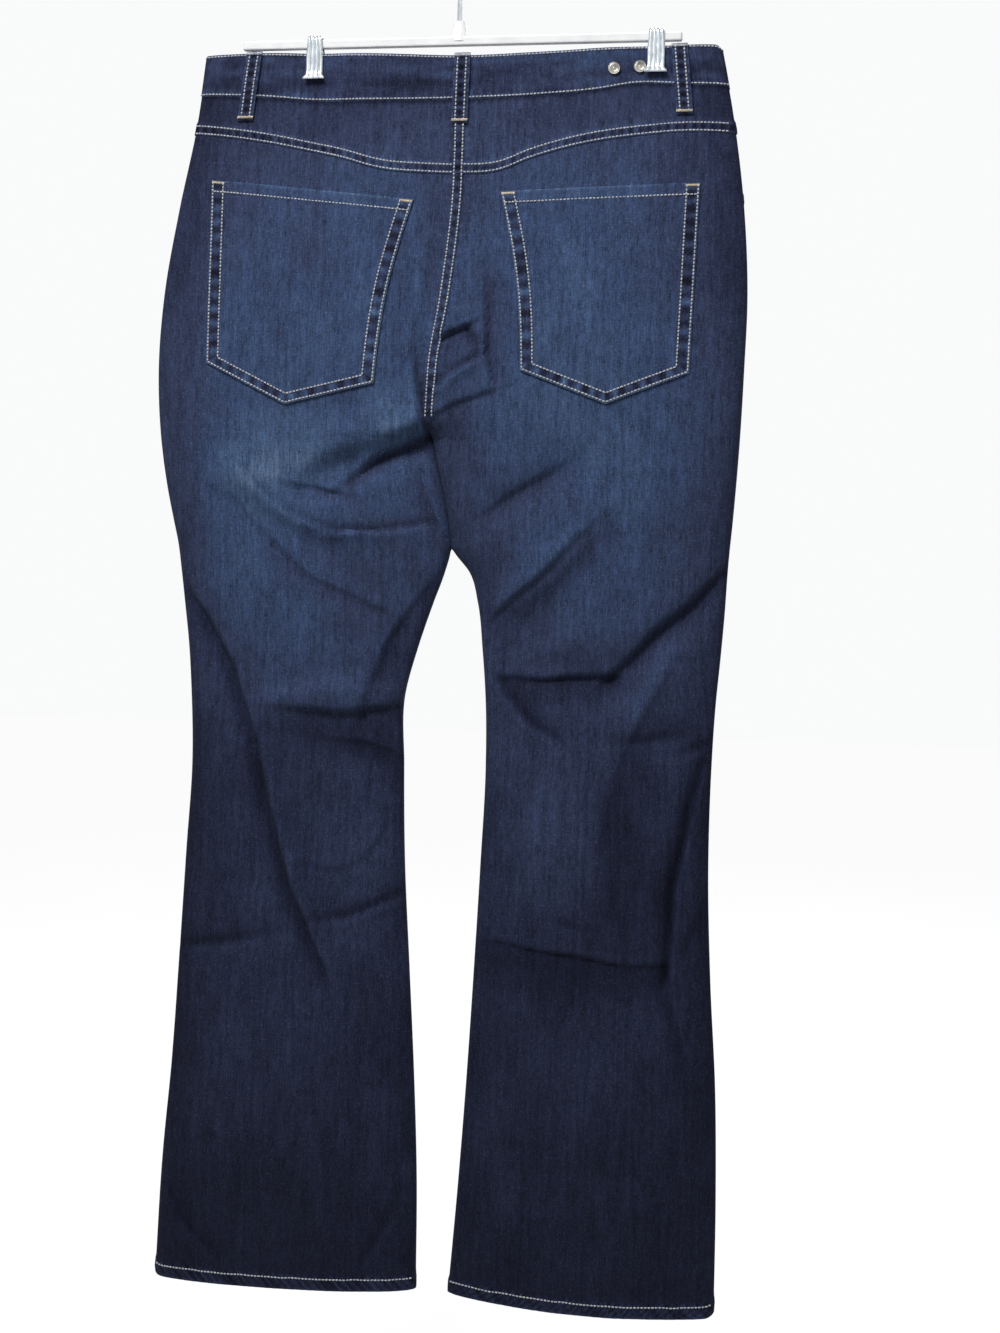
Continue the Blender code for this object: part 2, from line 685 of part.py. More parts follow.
def add_hook():
    """The wire hook: a stem up from the neck, a bend to one side, and an arc over the rail."""
    radius = HOOK_INSIDE + WIRE_RADIUS
    neck_top = BAND_TOP - BAR_DROP + NECK_TALL + SEAM_GAP
    centre = -HOOK_INSIDE
    route = [(0, neck_top), (0, (neck_top + centre - STEM_BEND) / 2)]
    for t in np.linspace(0, 1, 9):
        ease = t * t * (3 - 2 * t)
        route.append((radius * ease, centre - STEM_BEND * (1 - t)))
    for a in np.linspace(math.radians(10), math.radians(205), 18):
        route.append((radius * math.cos(a), centre + radius * math.sin(a)))
    curve = bpy.data.curves.new("hanger_hook", "CURVE")
    curve.dimensions = "3D"
    curve.bevel_depth = WIRE_RADIUS * MM
    curve.bevel_resolution = 2
    curve.use_fill_caps = True
    line = curve.splines.new("POLY")
    line.points.add(len(route) - 1)
    for point, (x, z) in zip(line.points, route):
        point.co = (x * MM, 0, z * MM, 1)
    curve.materials.append(material("chrome"))
    collection.objects.link(bpy.data.objects.new("hanger_hook", curve))


for old in list(bpy.data.objects):
    bpy.data.objects.remove(old)
collection = bpy.data.collections.new("bootcut_jeans_on_clip_hanger")
cutters = bpy.data.collections.new("cutters")
bpy.context.scene.collection.children.link(collection)
bpy.context.scene.collection.children.link(cutters)

for leg in (-1, 1):
    add_leg_back(leg)
    add_yoke(leg)
    add_leg_front(leg)
    add_facing(leg)
    add_pocket(leg)
add_fly()
add_waistband()
for row in LOOPS:
    add_belt_loop(dict(zip(LOOP_COLUMNS, row)))
for row in BUTTONS:
    add_button(dict(zip(BUTTON_COLUMNS, row)))
for side, clip_x in CLIP_X.items():
    add_clip("clip_" + side, clip_x)
add_bar()
add_hook()
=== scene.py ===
"""Looks of the bootcut jeans that hang from a clip hanger, seen from the back.

Lengths are millimetres, and MM turns them into metres. +Z is up and the origin is the underside of the
hook's top. The back of the jeans faces -Y. "drop" is the distance below the waistband's top edge. A leg is
-1 on the left of the back view and +1 on its right, and a face is -1 at the back and +1 at the front.
"""

import math

import bmesh
import bpy
import numpy as np
from mathutils import Matrix, Vector


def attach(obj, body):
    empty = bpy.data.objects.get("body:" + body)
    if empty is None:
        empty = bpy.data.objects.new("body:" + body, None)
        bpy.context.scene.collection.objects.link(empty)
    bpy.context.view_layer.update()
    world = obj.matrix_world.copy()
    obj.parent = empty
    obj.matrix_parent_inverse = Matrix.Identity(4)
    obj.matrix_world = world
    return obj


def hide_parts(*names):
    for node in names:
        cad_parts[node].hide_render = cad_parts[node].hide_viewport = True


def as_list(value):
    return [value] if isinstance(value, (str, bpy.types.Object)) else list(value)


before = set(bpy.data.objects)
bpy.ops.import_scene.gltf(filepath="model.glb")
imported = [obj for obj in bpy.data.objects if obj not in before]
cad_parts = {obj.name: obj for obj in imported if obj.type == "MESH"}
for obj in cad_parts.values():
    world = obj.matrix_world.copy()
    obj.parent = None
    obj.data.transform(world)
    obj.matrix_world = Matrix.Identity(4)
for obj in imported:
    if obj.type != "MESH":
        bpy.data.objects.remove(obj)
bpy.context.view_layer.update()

MM = 0.001

# Driving sizes of the garment
BAND_TOP = -110.0
BAND_HEIGHT = 37.0
FRONT_BAND_HEIGHT = 34.0
BAND_PROUD = 0.6
BAND_THICK = 2.6
CLOTH = 1.2
YOKE_CLOTH = 0.84
SEAM_GAP = 0.3
SEAM_CLOSE = 0.04
CROTCH = 325.0
CLEFT_START = {-1: 205.0, 1: 225.0}
THIGH_GAP = 0.8
THIGH_PRESS = 0.4
SQUARENESS = 2.6
EDGE_TURN = 8
SETTLE_STEPS = 30
CENTRE_X = 3.0
FACE_NAME = {-1: "back", 1: "front"}
LEG_NAME = {-1: "left", 1: "right"}

# Outline of the hanging garment, seen square from the back
OUTLINE_COLUMNS = ("drop", "left_out", "left_in", "right_in", "right_out")
OUTLINE = (
    (0, -218, 3, 3, 218),
    (60, -226, 4, 4, 230),
    (130, -240, 4, 4, 240),
    (205, -252, -3, -3, 245),
    (265, -255.5, -12, -12, 244),
    (325, -252, -14, -14, 242),
    (370, -245, -3, -3, 239.5),
    (395, -239.5, 1.5, 1.5, 237.8),
    (415, -235, 3.5, 4, 236.2),
    (436, -232, -1.5, 20, 235),
    (460, -229, -10, 27, 234),
    (500, -224, -23, 32, 231.5),
    (540, -221, -33, 35.5, 228.5),
    (600, -219, -32.5, 37, 226.3),
    (680, -223, -30, 34.5, 226.3),
    (770, -227.5, -24, 31, 230.5),
    (860, -232.5, -18, 27, 237),
    (950, -239.5, -13.5, 22, 240),
    (1052, -244, -12, 15, 241),
)
BAND_HALF = OUTLINE[0][4]

# Half the garment's thickness, from its mid plane to the outside of each face
DEPTH_COLUMNS = ("drop", "back", "front")
DEPTH = (
    (0, 8.5, 8.5),
    (40, 9.5, 9.5),
    (100, 15, 12),
    (190, 23, 15),
    (290, 25, 17),
    (380, 22, 17),
    (500, 18, 16),
    (660, 16, 15),
    (860, 15, 15),
    (1052, 17, 17),
)

BAND_TOP_EDGE = ((-220, 0), (-124, 0), (-60, 3), (3, 6), (80, 4), (165, 0), (220, 0))
BAND_SEAM = (
    (-230, 34), (-180, 37), (-101, 42), (3, 43), (69, 41), (119, 37), (152, 31), (193, 33), (230, 34),
)
YOKE_SEAM = (
    (-235, 61), (-179, 69), (-135, 77), (-100, 85), (-62, 96), (-22, 100),
    (4, 101), (38, 99), (64, 89), (95, 80), (137, 72), (170, 68), (240, 68),
)
HEM = {-1: (1052.0, 1051.0, 1046.5), 1: (1050.0, 1053.0, 1046.5)}

# Folds. A row runs from (x0, drop0) to (x1, drop1); bow is how far its middle bends to the right of that
# run, width its half width, height positive for a ridge and negative for a trough, and lean, where given,
# how much steeper it is on the right of the run than on its left.
FOLD_END = 0.35
FOLD_TAPER = 0.7
FOLD_SPREAD = 1.4
FOLD_COLUMNS = ("face", "x0", "drop0", "x1", "drop1", "bow", "width", "height", "lean")
FOLDS = (
    (-1, -8, 322, -122, 366, 6, 15, -8.0, 0.3),
    (-1, -10, 302, -112, 340, 6, 17, 4.5),
    (-1, -185, 345, -80, 398, 14, 15, 5.0),
    (-1, -176, 372, -70, 452, -6, 16, -4.5),
    (-1, -212, 470, -150, 610, -8, 17, -6.0, 0.3),
    (-1, -150, 590, -84, 790, -4, 18, -5.5, 0.3),
    (-1, -182, 520, -110, 720, -6, 20, 4.0),
    (-1, -148, 548, -24, 542, -8, 13, 5.5, -0.3),
    (-1, -140, 576, -26, 590, 0, 16, -5.0),
    (-1, -214, 764, -140, 742, 3, 14, -3.5),
    (-1, -104, 744, -22, 712, 2, 14, -3.5),
    (-1, 34, 384, 112, 338, 6, 15, -5.0),
    (-1, 52, 462, 132, 382, 6, 17, 5.5, 0.3),
    (-1, 56, 502, 108, 438, 6, 17, -5.0),
    (-1, 226, 436, 140, 520, -4, 17, -6.0, 0.2),
    (-1, 150, 522, 62, 522, 5, 15, -5.0),
    (-1, 196, 478, 158, 580, 4, 18, 4.0),
    (-1, 222, 600, 196, 785, 8, 18, -5.0, 0.2),
    (-1, 150, 578, 226, 572, -2, 13, -4.0),
    (-1, 46, 738, 190, 760, 4, 14, -3.5),
    (-1, -120, 840, -90, 1010, 8, 30, 3.0),
    (-1, 120, 830, 150, 1010, -8, 30, 3.0),
    (1, -40, 300, -190, 352, 8, 18, -6.0, 0.2),
    (1, 40, 306, 185, 366, -8, 18, -6.0, 0.2),
    (1, -30, 392, -150, 330, 4, 17, 4.0),
    (1, 45, 470, 160, 395, 6, 18, 4.5),
    (1, -205, 500, -90, 600, -8, 18, -5.0, 0.2),
    (1, 215, 520, 90, 588, 6, 18, -5.0),
    (1, -200, 590, -60, 570, -6, 14, 4.0),
    (1, 66, 640, 205, 620, 4, 15, -4.0),
    (1, -120, 700, -150, 960, 8, 24, 3.5),
    (1, 120, 700, 160, 940, -8, 24, 3.5),
    (1, -205, 770, -70, 730, 5, 16, -4.0),
    (1, 60, 790, 190, 830, -4, 16, -4.0),
)

# Finer creases in the same columns
CREASES = (
    (-1, -10, 308, -70, 336, 2, 9, 4.0),
    (-1, -67, 595, -28, 610, 0, 7, -1.8),
    (-1, -38, 485, -63, 540, -3, 7, -1.8),
    (-1, -127, 1015, -87, 1009, -2, 6, -1.2),
    (-1, -232, 860, -215, 930, 2, 9, -1.6),
    (-1, 33, 458, 51, 503, -3, 7, -1.8),
    (-1, 196, 480, 160, 575, 3, 8, 1.6),
    (-1, 169, 582, 157, 743, 3, 24, -2.5),
    (-1, 100, 725, 126, 731, 0, 5, -1.4),
    (-1, 227, 701, 208, 748, 0, 6, -1.6),
    (-1, -212, 120, -226, 250, 4, 12, -1.4),
    (-1, 222, 130, 226, 260, -3, 11, -1.4),
    (-1, -28, 128, -22, 232, 2, 9, 1.5),
    (-1, -16, 140, -12, 225, 0, 7, -1.8),
    (-1, -60, 640, -52, 760, 4, 16, 1.6),
    (-1, 92, 600, 84, 700, 3, 16, 1.6),
    (-1, 60, 860, 70, 1000, 5, 18, 1.6),
    (-1, -175, 820, -190, 960, 5, 20, 1.8),
    (1, -60, 296, -140, 312, 4, 8, 1.6, 0.3),
    (1, 62, 300, 150, 322, -4, 8, 1.6, 0.3),
    (1, -20, 330, -80, 372, 3, 8, -1.8),
    (1, 20, 334, 84, 380, -3, 8, -1.8),
    (1, -200, 540, -110, 560, 4, 8, -2.0, 0.3),
    (1, -96, 566, -40, 560, 3, 7, -1.6),
    (1, 60, 566, 140, 580, 4, 8, -2.0, 0.3),
    (1, 150, 592, 218, 580, 3, 7, -1.8),
    (1, -190, 690, -120, 720, 3, 7, -1.6),
    (1, 80, 720, 170, 700, 3, 7, -1.6),
    (1, -60, 980, -30, 1020, 2, 8, -1.6),
    (1, 190, 980, 225, 1020, 2, 8, -1.6),
)

# Overhanging creases: the cloth on the right of the run swells by "rise" and ends in a lip, and the cloth
# on its left lies lower by "fall". head and tail are its strength at its two ends, and shade is how much
# painted shade darkens the cloth under the lip, over "reach". The lip's edge is paler, partly wear and
# partly a painted highlight. The lips wander beside their runs by LIP_WANDER.
LIP_SOFT = 2.0
LIP_UNDER = 0.6
LIP_WEAR_AND_HIGHLIGHT = 0.035
LIP_EDGE = 2.5
LIP_EDGE_WIDE = 3.5
LIP_SWELL = 0.35
LIP_WANDER = 2.2
LIP_COLUMNS = (
    "face", "leg", "x0", "drop0", "x1", "drop1", "bow",
    "width", "rise", "fall", "head", "tail", "shade", "reach",
)
LIPS = (
    (-1, -1, -13, 317, -87, 362, 2, 15, 3.4, 6.5, 1.0, 0.4, 0.46, 9),
    (-1, -1, -31, 252, -21, 312, 0, 13, 2.6, 6.5, 0.2, 1.0, 0.50, 7),
    (-1, -1, -86, 370, -146, 362, 0, 12, 1.6, 3.2, 0.8, 0.1, 0.20, 13),
    (-1, -1, -174, 352, -62, 404, 15, 9, 2.0, 1.6, 0.5, 0.4, 0.08, 8),
    (-1, -1, -105, 404, -12, 397, 2, 6, 1.8, 2.6, 0.4, 0.9, 0.16, 8),
    (-1, -1, -47, 468, -177, 378, -14, 20, 1.6, 3.0, 0.4, 0.4, 0.22, 14),
    (-1, -1, -4, 433, -65, 549, 8, 20, 1.6, 2.4, 0.5, 0.8, 0.24, 30),
    (-1, -1, -31, 547, -147, 550, -6, 14, 2.8, 4.0, 0.7, 0.2, 0.28, 22),
    (-1, -1, -30, 592, -108, 578, 3, 9, 1.2, 2.6, 0.6, 0.3, 0.22, 12),
    (-1, -1, -152, 614, -217, 461, 11, 16, 2.2, 5.0, 0.5, 0.8, 0.34, 13),
    (-1, -1, -94, 776, -152, 610, -5, 13, 2.2, 5.0, 0.9, 0.6, 0.34, 11),
    (-1, -1, -222, 765, -134, 747, 0, 10, 1.6, 2.6, 0.9, 0.3, 0.16, 9),
    (-1, -1, -106, 740, -29, 711, 2, 10, 1.8, 3.0, 0.3, 0.9, 0.20, 10),
    (-1, -1, -46, 647, -118, 682, -22, 9, 1.0, 2.0, 0.5, 0.5, 0.12, 8),
    (-1, -1, 3, 413, -24, 351, 0, 10, 1.6, 2.6, 0.7, 0.7, 0.18, 8),
    (-1, -1, -229, 976, -188, 1026, 6, 9, 1.0, 2.6, 0.6, 0.7, 0.18, 10),
    (-1, -1, -52, 1020, -27, 966, 2, 8, 1.2, 2.4, 0.7, 0.4, 0.14, 9),
    (-1, -1, -150, 560, -186, 600, -4, 10, 1.0, 2.0, 0.4, 0.3, 0.08, 10),
    (-1, 1, 130, 388, 50, 466, 0, 12, 2.4, 3.0, 0.3, 0.9, 0.24, 18),
    (-1, 1, 61, 512, 84, 448, 0, 8, 1.2, 1.2, 0.5, 0.2, 0.12, 12),
    (-1, 1, 104, 340, 34, 384, 0, 14, 1.4, 2.6, 0.3, 0.6, 0.14, 12),
    (-1, 1, 230, 430, 141, 518, 0, 16, 2.6, 6.0, 0.8, 0.6, 0.34, 12),
    (-1, 1, 141, 518, 58, 523, 0, 12, 2.2, 4.2, 0.8, 0.7, 0.38, 19),
    (-1, 1, 52, 530, 95, 571, 7, 9, 2.0, 3.8, 0.7, 0.7, 0.30, 13),
    (-1, 1, 192, 512, 139, 650, 9, 14, 1.2, 2.2, 0.3, 0.6, 0.18, 26),
    (-1, 1, 146, 577, 197, 570, 0, 8, 1.2, 2.0, 0.4, 0.5, 0.14, 8),
    (-1, 1, 203, 582, 227, 573, 0, 7, 1.0, 2.4, 0.5, 0.9, 0.20, 7),
    (-1, 1, 195, 766, 222, 588, -6, 11, 2.2, 5.0, 0.7, 0.6, 0.42, 9),
    (-1, 1, 216, 862, 196, 768, 0, 10, 1.2, 2.6, 0.3, 0.6, 0.22, 9),
    (-1, 1, 192, 758, 46, 743, -3, 9, 1.8, 3.4, 0.6, 0.7, 0.34, 32),
    (-1, 1, 92, 727, 136, 733, 0, 6, 0.8, 1.4, 0.4, 0.4, 0.08, 7),
    (-1, 1, 226, 700, 210, 746, 0, 7, 0.8, 1.6, 0.5, 0.3, 0.10, 8),
    (-1, 1, 31, 158, 36, 274, 2, 13, 2.4, 4.6, 0.1, 0.9, 0.32, 9),
    (-1, 1, -5, 281, 29, 259, -4, 9, 2.4, 2.4, 0.9, 0.6, 0.20, 9),
    (-1, 1, 15, 231, -9, 243, 0, 9, 2.2, 4.6, 0.9, 0.7, 0.34, 13),
    (-1, 1, 30, 258, 15, 231, 2, 8, 2.2, 3.6, 0.6, 0.9, 0.24, 9),
    (-1, 1, 50, 280, -2, 303, 2, 11, 1.4, 2.6, 0.3, 0.8, 0.18, 10),
    (-1, 1, 222, 1016, 160, 1030, 0, 7, 0.8, 1.4, 0.5, 0.3, 0.08, 8),
    (1, -1, -30, 304, -180, 350, -8, 14, 1.8, 1.0, 0.8, 0.3, 0.26, 14),
    (1, 1, 180, 362, 30, 310, 8, 14, 1.8, 1.0, 0.3, 0.8, 0.26, 14),
    (1, -1, -92, 598, -205, 502, -6, 12, 1.6, 1.2, 0.4, 0.8, 0.26, 14),
    (1, 1, 214, 522, 92, 586, -4, 12, 1.6, 1.2, 0.8, 0.4, 0.26, 14),
    (1, -1, -36, 330, -150, 374, 4, 12, 1.8, 1.0, 0.7, 0.3, 0.22, 14),
    (1, 1, 152, 394, 40, 332, 4, 12, 1.8, 1.0, 0.3, 0.7, 0.22, 14),
    (1, -1, -52, 592, -152, 566, 3, 10, 1.6, 1.2, 0.5, 0.6, 0.22, 14),
    (1, 1, 206, 624, 108, 600, 3, 10, 1.4, 1.2, 0.5, 0.4, 0.20, 12),
    (1, -1, -204, 772, -78, 736, 4, 10, 1.4, 1.2, 0.6, 0.5, 0.20, 14),
    (1, 1, 58, 768, 198, 792, -4, 10, 1.4, 1.2, 0.5, 0.6, 0.20, 14),
    (1, -1, -152, 904, -120, 700, 6, 14, 1.4, 1.2, 0.4, 0.5, 0.14, 16),
    (1, 1, 122, 690, 162, 922, 6, 14, 1.4, 1.2, 0.5, 0.4, 0.14, 16),
)

# Smooth noise: the size of its cells across and down, its seed and its strength
LATTICE = 96
BLOTCH_COLUMNS = ("wide", "tall", "seed", "strength")
LUMPS = ((64, 92, 11, 0.75), (26, 44, 12, 0.38), (11, 17, 13, 0.13))
LUMPS_START = 30.0
LUMPS_FADE = 80.0
BROAD_BLOTCHES = ((38, 60, 31, 0.06),)
FINE_BLOTCHES = ((13, 34, 32, 0.05), (4.5, 22, 33, 0.03))
BAND_BLOTCHES = ((30, 14, 54, 0.10), (46, 5.5, 57, 0.16), (12, 3.5, 58, 0.10))

# Wash, from 0 for the darkest cloth to 1 for the palest, down the middle of each leg's back
WASH_COLUMNS = ("drop", "left", "right")
WASH = (
    (0, 0.42, 0.50),
    (60, 0.52, 0.56),
    (112, 0.64, 0.62),
    (200, 0.70, 0.68),
    (290, 0.74, 0.68),
    (340, 0.74, 0.66),
    (400, 0.70, 0.62),
    (470, 0.62, 0.58),
    (540, 0.54, 0.50),
    (610, 0.32, 0.38),
    (700, 0.33, 0.30),
    (790, 0.30, 0.23),
    (880, 0.17, 0.14),
    (960, 0.07, 0.07),
    (1056, 0.02, 0.03),
)
EDGE_WASH = 0.34
FRONT_WASH = 0.03
INSEAM_WASH = 0.10
EDGE_POWER = 5
WORN_ENOUGH = 0.3
BAND_WASH = {-1: 0.43, 1: 0.50}
LOOP_WASH = 0.42
FLY_WASH = 0.40
YOKE_SHADE = 0.04
FACING_SHADE = 0.10

# Pale worn places and darker ones, some of them painted shade beside folds: face, x, drop, half width, half
# height, strength
PATCH_COLUMNS = ("face", "x", "drop", "wide", "tall", "strength")
PATCHES = (
    (-1, -138, 340, 52, 34, 0.14),
    (-1, -170, 352, 26, 26, 0.12),
    (-1, 128, 332, 52, 36, 0.14),
    (-1, 172, 352, 28, 26, 0.08),
    (-1, -150, 395, 40, 22, 0.14),
    (-1, -172, 450, 30, 40, 0.14),
    (-1, -118, 480, 40, 46, 0.10),
    (-1, 120, 440, 44, 40, 0.12),
    (-1, -60, 300, 26, 40, 0.08),
    (-1, 60, 300, 26, 40, 0.06),
    (-1, 8, 340, 30, 60, -0.04),
    (-1, -222, 300, 18, 110, -0.14),
    (-1, -152, 360, 26, 14, 0.10),
    (-1, -9, 163, 16, 26, -0.07),
    (-1, 84, 62, 38, 15, -0.07),
    (-1, 100, 240, 40, 84, 0.13),
    (-1, 26, 368, 26, 30, 0.06),
    (-1, 150, 384, 20, 14, 0.12),
    (-1, -115, 345, 36, 16, 0.10),
    (-1, -8, 110, 40, 50, -0.09),
    (-1, 182, 100, 18, 30, -0.07),
    (-1, -30, 420, 34, 40, -0.06),
    (-1, 40, 430, 26, 40, -0.08),
    (-1, -75, 640, 38, 90, 0.10),
    (-1, 95, 640, 38, 80, 0.10),
    (-1, -100, 850, 50, 90, 0.06),
    (-1, 88, 690, 30, 60, 0.04),
    (-1, -48, 318, 28, 14, 0.05),
    (-1, 18, 214, 12, 40, -0.06),
    # Painted shade under the left knee's fold and beside folds lower down both legs
    (-1, -66, 585, 38, 11, -0.18),
    (-1, -54, 812, 30, 46, -0.11),
    (-1, 158, 690, 20, 46, -0.10),
    (-1, 96, 860, 60, 50, 0.05),
    (-1, -160, 830, 34, 90, 0.05),
    (1, -128, 330, 50, 120, 0.28),
    (1, 130, 330, 50, 120, 0.28),
    (1, -125, 560, 40, 60, 0.20),
    (1, 130, 560, 40, 60, 0.20),
)

# Sewing
YOKE_REACH = 225.5
ROW_APART = 6.4
LAP_OVER = 4.7
LAP_UNDER = 3.0
LAP_RISE = 0.95
PUCKER = 4.3
PUCKER_PITCH = 7.4
STITCH_PITCH = 3.0
STITCH_LONG = 2.5
THREAD_RADIUS = 0.66
STITCH_SIDES = 6
STITCH_RINGS = ((-0.50, 0.45, -0.55), (-0.32, 1.0, 0.25), (0.32, 1.0, 0.25), (0.50, 0.45, -0.55))
STITCH_SPARE = 0.5
TACK_PITCH = 0.62
TACK_LEAN = 0.22
TACK_RADIUS = 0.40
HEM_TURN = 11.0
HEM_RISE = 0.8
HEM_CORNER = 8.0
HEM_CUT = 4.0
BAND_CORNER = 6.0
BAND_CUT = 3.0
BAND_ROWS = (1.7, 2.0)
CORNER_POWER = 2.5
TUCK = 1.0
LAP_ROUND = 0.35
LAP_FADE = (322.0, 24.0)
CENTRE_FADE = (318.0, 14.0)
CENTRE_END = {-1: 307.0, 1: 312.0}
CENTRE_STEPS = {-1: 900, 1: 800}
YOKE_POINT = 101.0

# Bands beside a line of sewing: at is how far from it, power how square the band's shoulders are, level how
# much is even along it and ripple how much rises and falls along it, with a seed and a stretch.
MARK_COLUMNS = ("seed", "stretch", "at", "width", "power", "ripple", "level")
YOKE_RELIEF = ((21, 1, 0, 3.4, 2, 0.34, 0),)
YOKE_WEAR = ((21, 1, 0, 2.6, 4, 0.46, -0.22), (21, 1, 3.4, 1.6, 2, 0, 0.22), (22, 1, 7, 3.5, 2, 0.14, 0))
# Along the waistband's seam: pale and dark puckers, and a painted shadow in the line just under the band.
BAND_WEAR_AND_SHADOW = ((23, 1, 0, 6.0, 2, 0.14, 0), (23, 1, 0, 2.4, 2, 0, -0.34))
CENTRE_RELIEF = ((24, 0.8, 0, 3.4, 2, 0.34, 0),)
CENTRE_WEAR = ((24, 0.8, 0, 3.0, 4, 0.50, -0.24), (25, 1, 7, 3.5, 2, 0.16, 0))
HEM_WEAR = ((27, 1, HEM_TURN, 2.5, 2, 0.10, 0), (27, 1, 0, 1.6, 2, 0, 0.26))

# Back pockets: the x and drop of each corner, and of the point at the bottom
POCKET_LIFT = 0.25
POCKET_THICK = 1.45
POCKET_COLUMNS = ("leg", "corner", "x", "drop")
POCKETS = (
    (-1, "top_out", -208, 107),
    (-1, "top_in", -32, 127),
    (-1, "low_in", -61, 280),
    (-1, "point", -137, 298),
    (-1, "low_out", -207, 263),
    (1, "top_in", 41, 121),
    (1, "top_out", 204, 114),
    (1, "low_out", 200, 270),
    (1, "point", 133, 296),
    (1, "low_in", 62, 269),
)
POCKET_BOW = 5.0
POCKET_ROW = 1.5
POCKET_PITCH = 0.62
POCKET_SIDE_ROW = 10.6
POCKET_LOW_ROW = 8.4
POCKET_HEM_ROW = 9.6
POCKET_TOP_ROW = 1.2
POCKET_CROWN = 0.7

# Belt loops
LOOP_WIDTH = 13.5
LOOP_THICK = 1.9
LOOP_ROW = 3.6
LOOP_SPREAD = 0.94
LOOP_COLUMNS = ("name", "face", "x_top", "x_low", "drop_top", "drop_low")
LOOPS = (
    ("belt_loop_back_left", -1, -174, -181, -1, 57),
    ("belt_loop_back_centre", -1, 5, 4, 4.5, 63),
    ("belt_loop_back_right", -1, 184, 190, -1, 57),
    ("belt_loop_front_left", 1, -94, -96, 0, 59),
    ("belt_loop_front_right", 1, 100, 102, 0, 59),
)
LOOP_LIFT = ((0.0, 0.95), (0.25, 1.9), (0.5, 2.2), (0.72, 1.5), (1.0, 0.5))

# Front pocket openings and their facings, the fly with its two rows of stitches, and the lapped band
SCOOP_CORNER = 228.0
SCOOP_WIDE = 98.0
SCOOP_DEEP = 84.0
FACING_SUNK = 2.4
FACING_UNDER = 12.0
FACING_THICK = 1.0
FLY_X = (-34.0, 10.0)
FLY_LOW = 205.0
FLY_SUNK = 0.5
FLY_ROW_COLUMNS = ("x", "turn_drop")
FLY_ROWS = ((-31.0, 150.0), (-25.5, 146.0))
FLY_ROW_TOP = 52.0
FLY_BEND = 1.35
SCOOP_ROWS = (2.0, 8.2)
FRONT_DIP = 9.0
LAP_HALF = 19.0
LAP_STEP = BAND_THICK + 0.35
LAP_TURN = 0.42
LAP_EASE = 0.22

# Metal buttons
BUTTON_GAP = 0.35
BUTTON_COLUMNS = ("name", "face", "x", "drop", "radius", "thick")
BUTTONS = (
    ("waist_button", 1, 3, 32, 8.5, 3.2),
    ("back_button_inner", -1, 131, 19, 5.0, 1.4),
    ("back_button_outer", -1, 152, 17, 5.0, 1.4),
)
BUTTON_SIDES = 48

# Section of a button from its middle to its back: the share of its radius and of its thickness
BUTTON_RIM = (
    (0.00, 0.74), (0.10, 0.72), (0.16, 0.62), (0.24, 0.60), (0.44, 0.66), (0.56, 0.74), (0.62, 0.98),
    (0.70, 1.00), (0.76, 0.82), (0.84, 0.84), (0.92, 0.98), (0.97, 0.90), (1.00, 0.66), (0.98, 0.40),
    (0.92, 0.20), (0.60, 0.0),
)

# Clips of the hanger
CLIP_X = {"left": -123.0, "right": 165.0}
PINCHED_DEPTH = 2.5
PINCH_WIDE = 30.0
PINCH_DEEP = 55.0
CLIP_WIDE = 14.5
CLIP_FOOT_WIDE = 18.5
CLIP_METAL = 0.9
CLIP_RIB = 0.9
CLIP_RIBS = 4
CLIP_LOW = 21.0
CLIP_GAP = 0.4
CLIP_FLARE = 3.0
CLIP_FOOT = ((3.8, 1.4), (2.4, -0.6), (0.7, -3.0))
CLIP_TAPER = 0.16
CROWN_GAP = 1.0
CROWN_RISE = 2.6
BAR_TALL = 8.0
BAR_DROP = -8.0

# Mesh density: rows down and columns across
GRID_HIGH = 0.62
BACK_GRID = (384, 118)
FRONT_GRID = (250, 62)
FRONT_FADE = 10
YOKE_GRID = (90, 150)
BAND_GRID = (30, 640)
POCKET_GRID = (104, 104)
LOOP_GRID = (64, 17)
FACING_SHARE = 46
FACING_ROWS = 30
FLY_GRID = (30, 10)

# Display colours of the dyed warp, from the darkest to the palest wash
INDIGO = (
    (0.00, (11, 13, 25)),
    (0.14, (21, 24, 42)),
    (0.28, (28, 32, 52)),
    (0.44, (39, 45, 70)),
    (0.60, (50, 59, 87)),
    (0.74, (55, 71, 104)),
    (0.90, (68, 89, 122)),
    (1.00, (92, 112, 142)),
)
RAMP_START = 0.22
RAMP_SPAN = 0.70

# Thread, metal and plastic: display colours, then the smear's scale, detail and tone stops, the grain's
# scale, detail, stretch, depth in metres and strength, and the roughness with its spread
FINISH_COLUMNS = (
    "name", "pale", "dark", "smear", "detail", "dark_at", "pale_at",
    "grain", "grain_detail", "stretch", "depth", "strength", "rough", "spread",
)
FINISHES = (
    (
        "cream_thread", (208, 210, 212), (140, 148, 164),
        420, 3, 0.30, 0.62, 5200, 1, 0.5, 0.0002, 0.5, 0.55, 0.2,
    ),
    (
        "golden_thread", (222, 208, 176), (160, 148, 126),
        420, 3, 0.30, 0.62, 5200, 1, 0.5, 0.0002, 0.5, 0.55, 0.2,
    ),
    (
        "antique_pewter", (176, 174, 166), (92, 92, 90),
        130, 4, 0.25, 0.60, 3200, 2, 0.08, 0.00008, 0.3, 0.34, 0.25,
    ),
    (
        "bright_plating", (232, 238, 242), (206, 214, 220),
        130, 4, 0.25, 0.60, 3200, 2, 0.08, 0.00008, 0.12, 0.24, 0.16,
    ),
    (
        "white_moulding", (244, 245, 245), (232, 234, 235),
        60, 4, 0.30, 0.65, 900, 1, 1, 0.0001, 0.25, 0.24, 0.22,
    ),
)

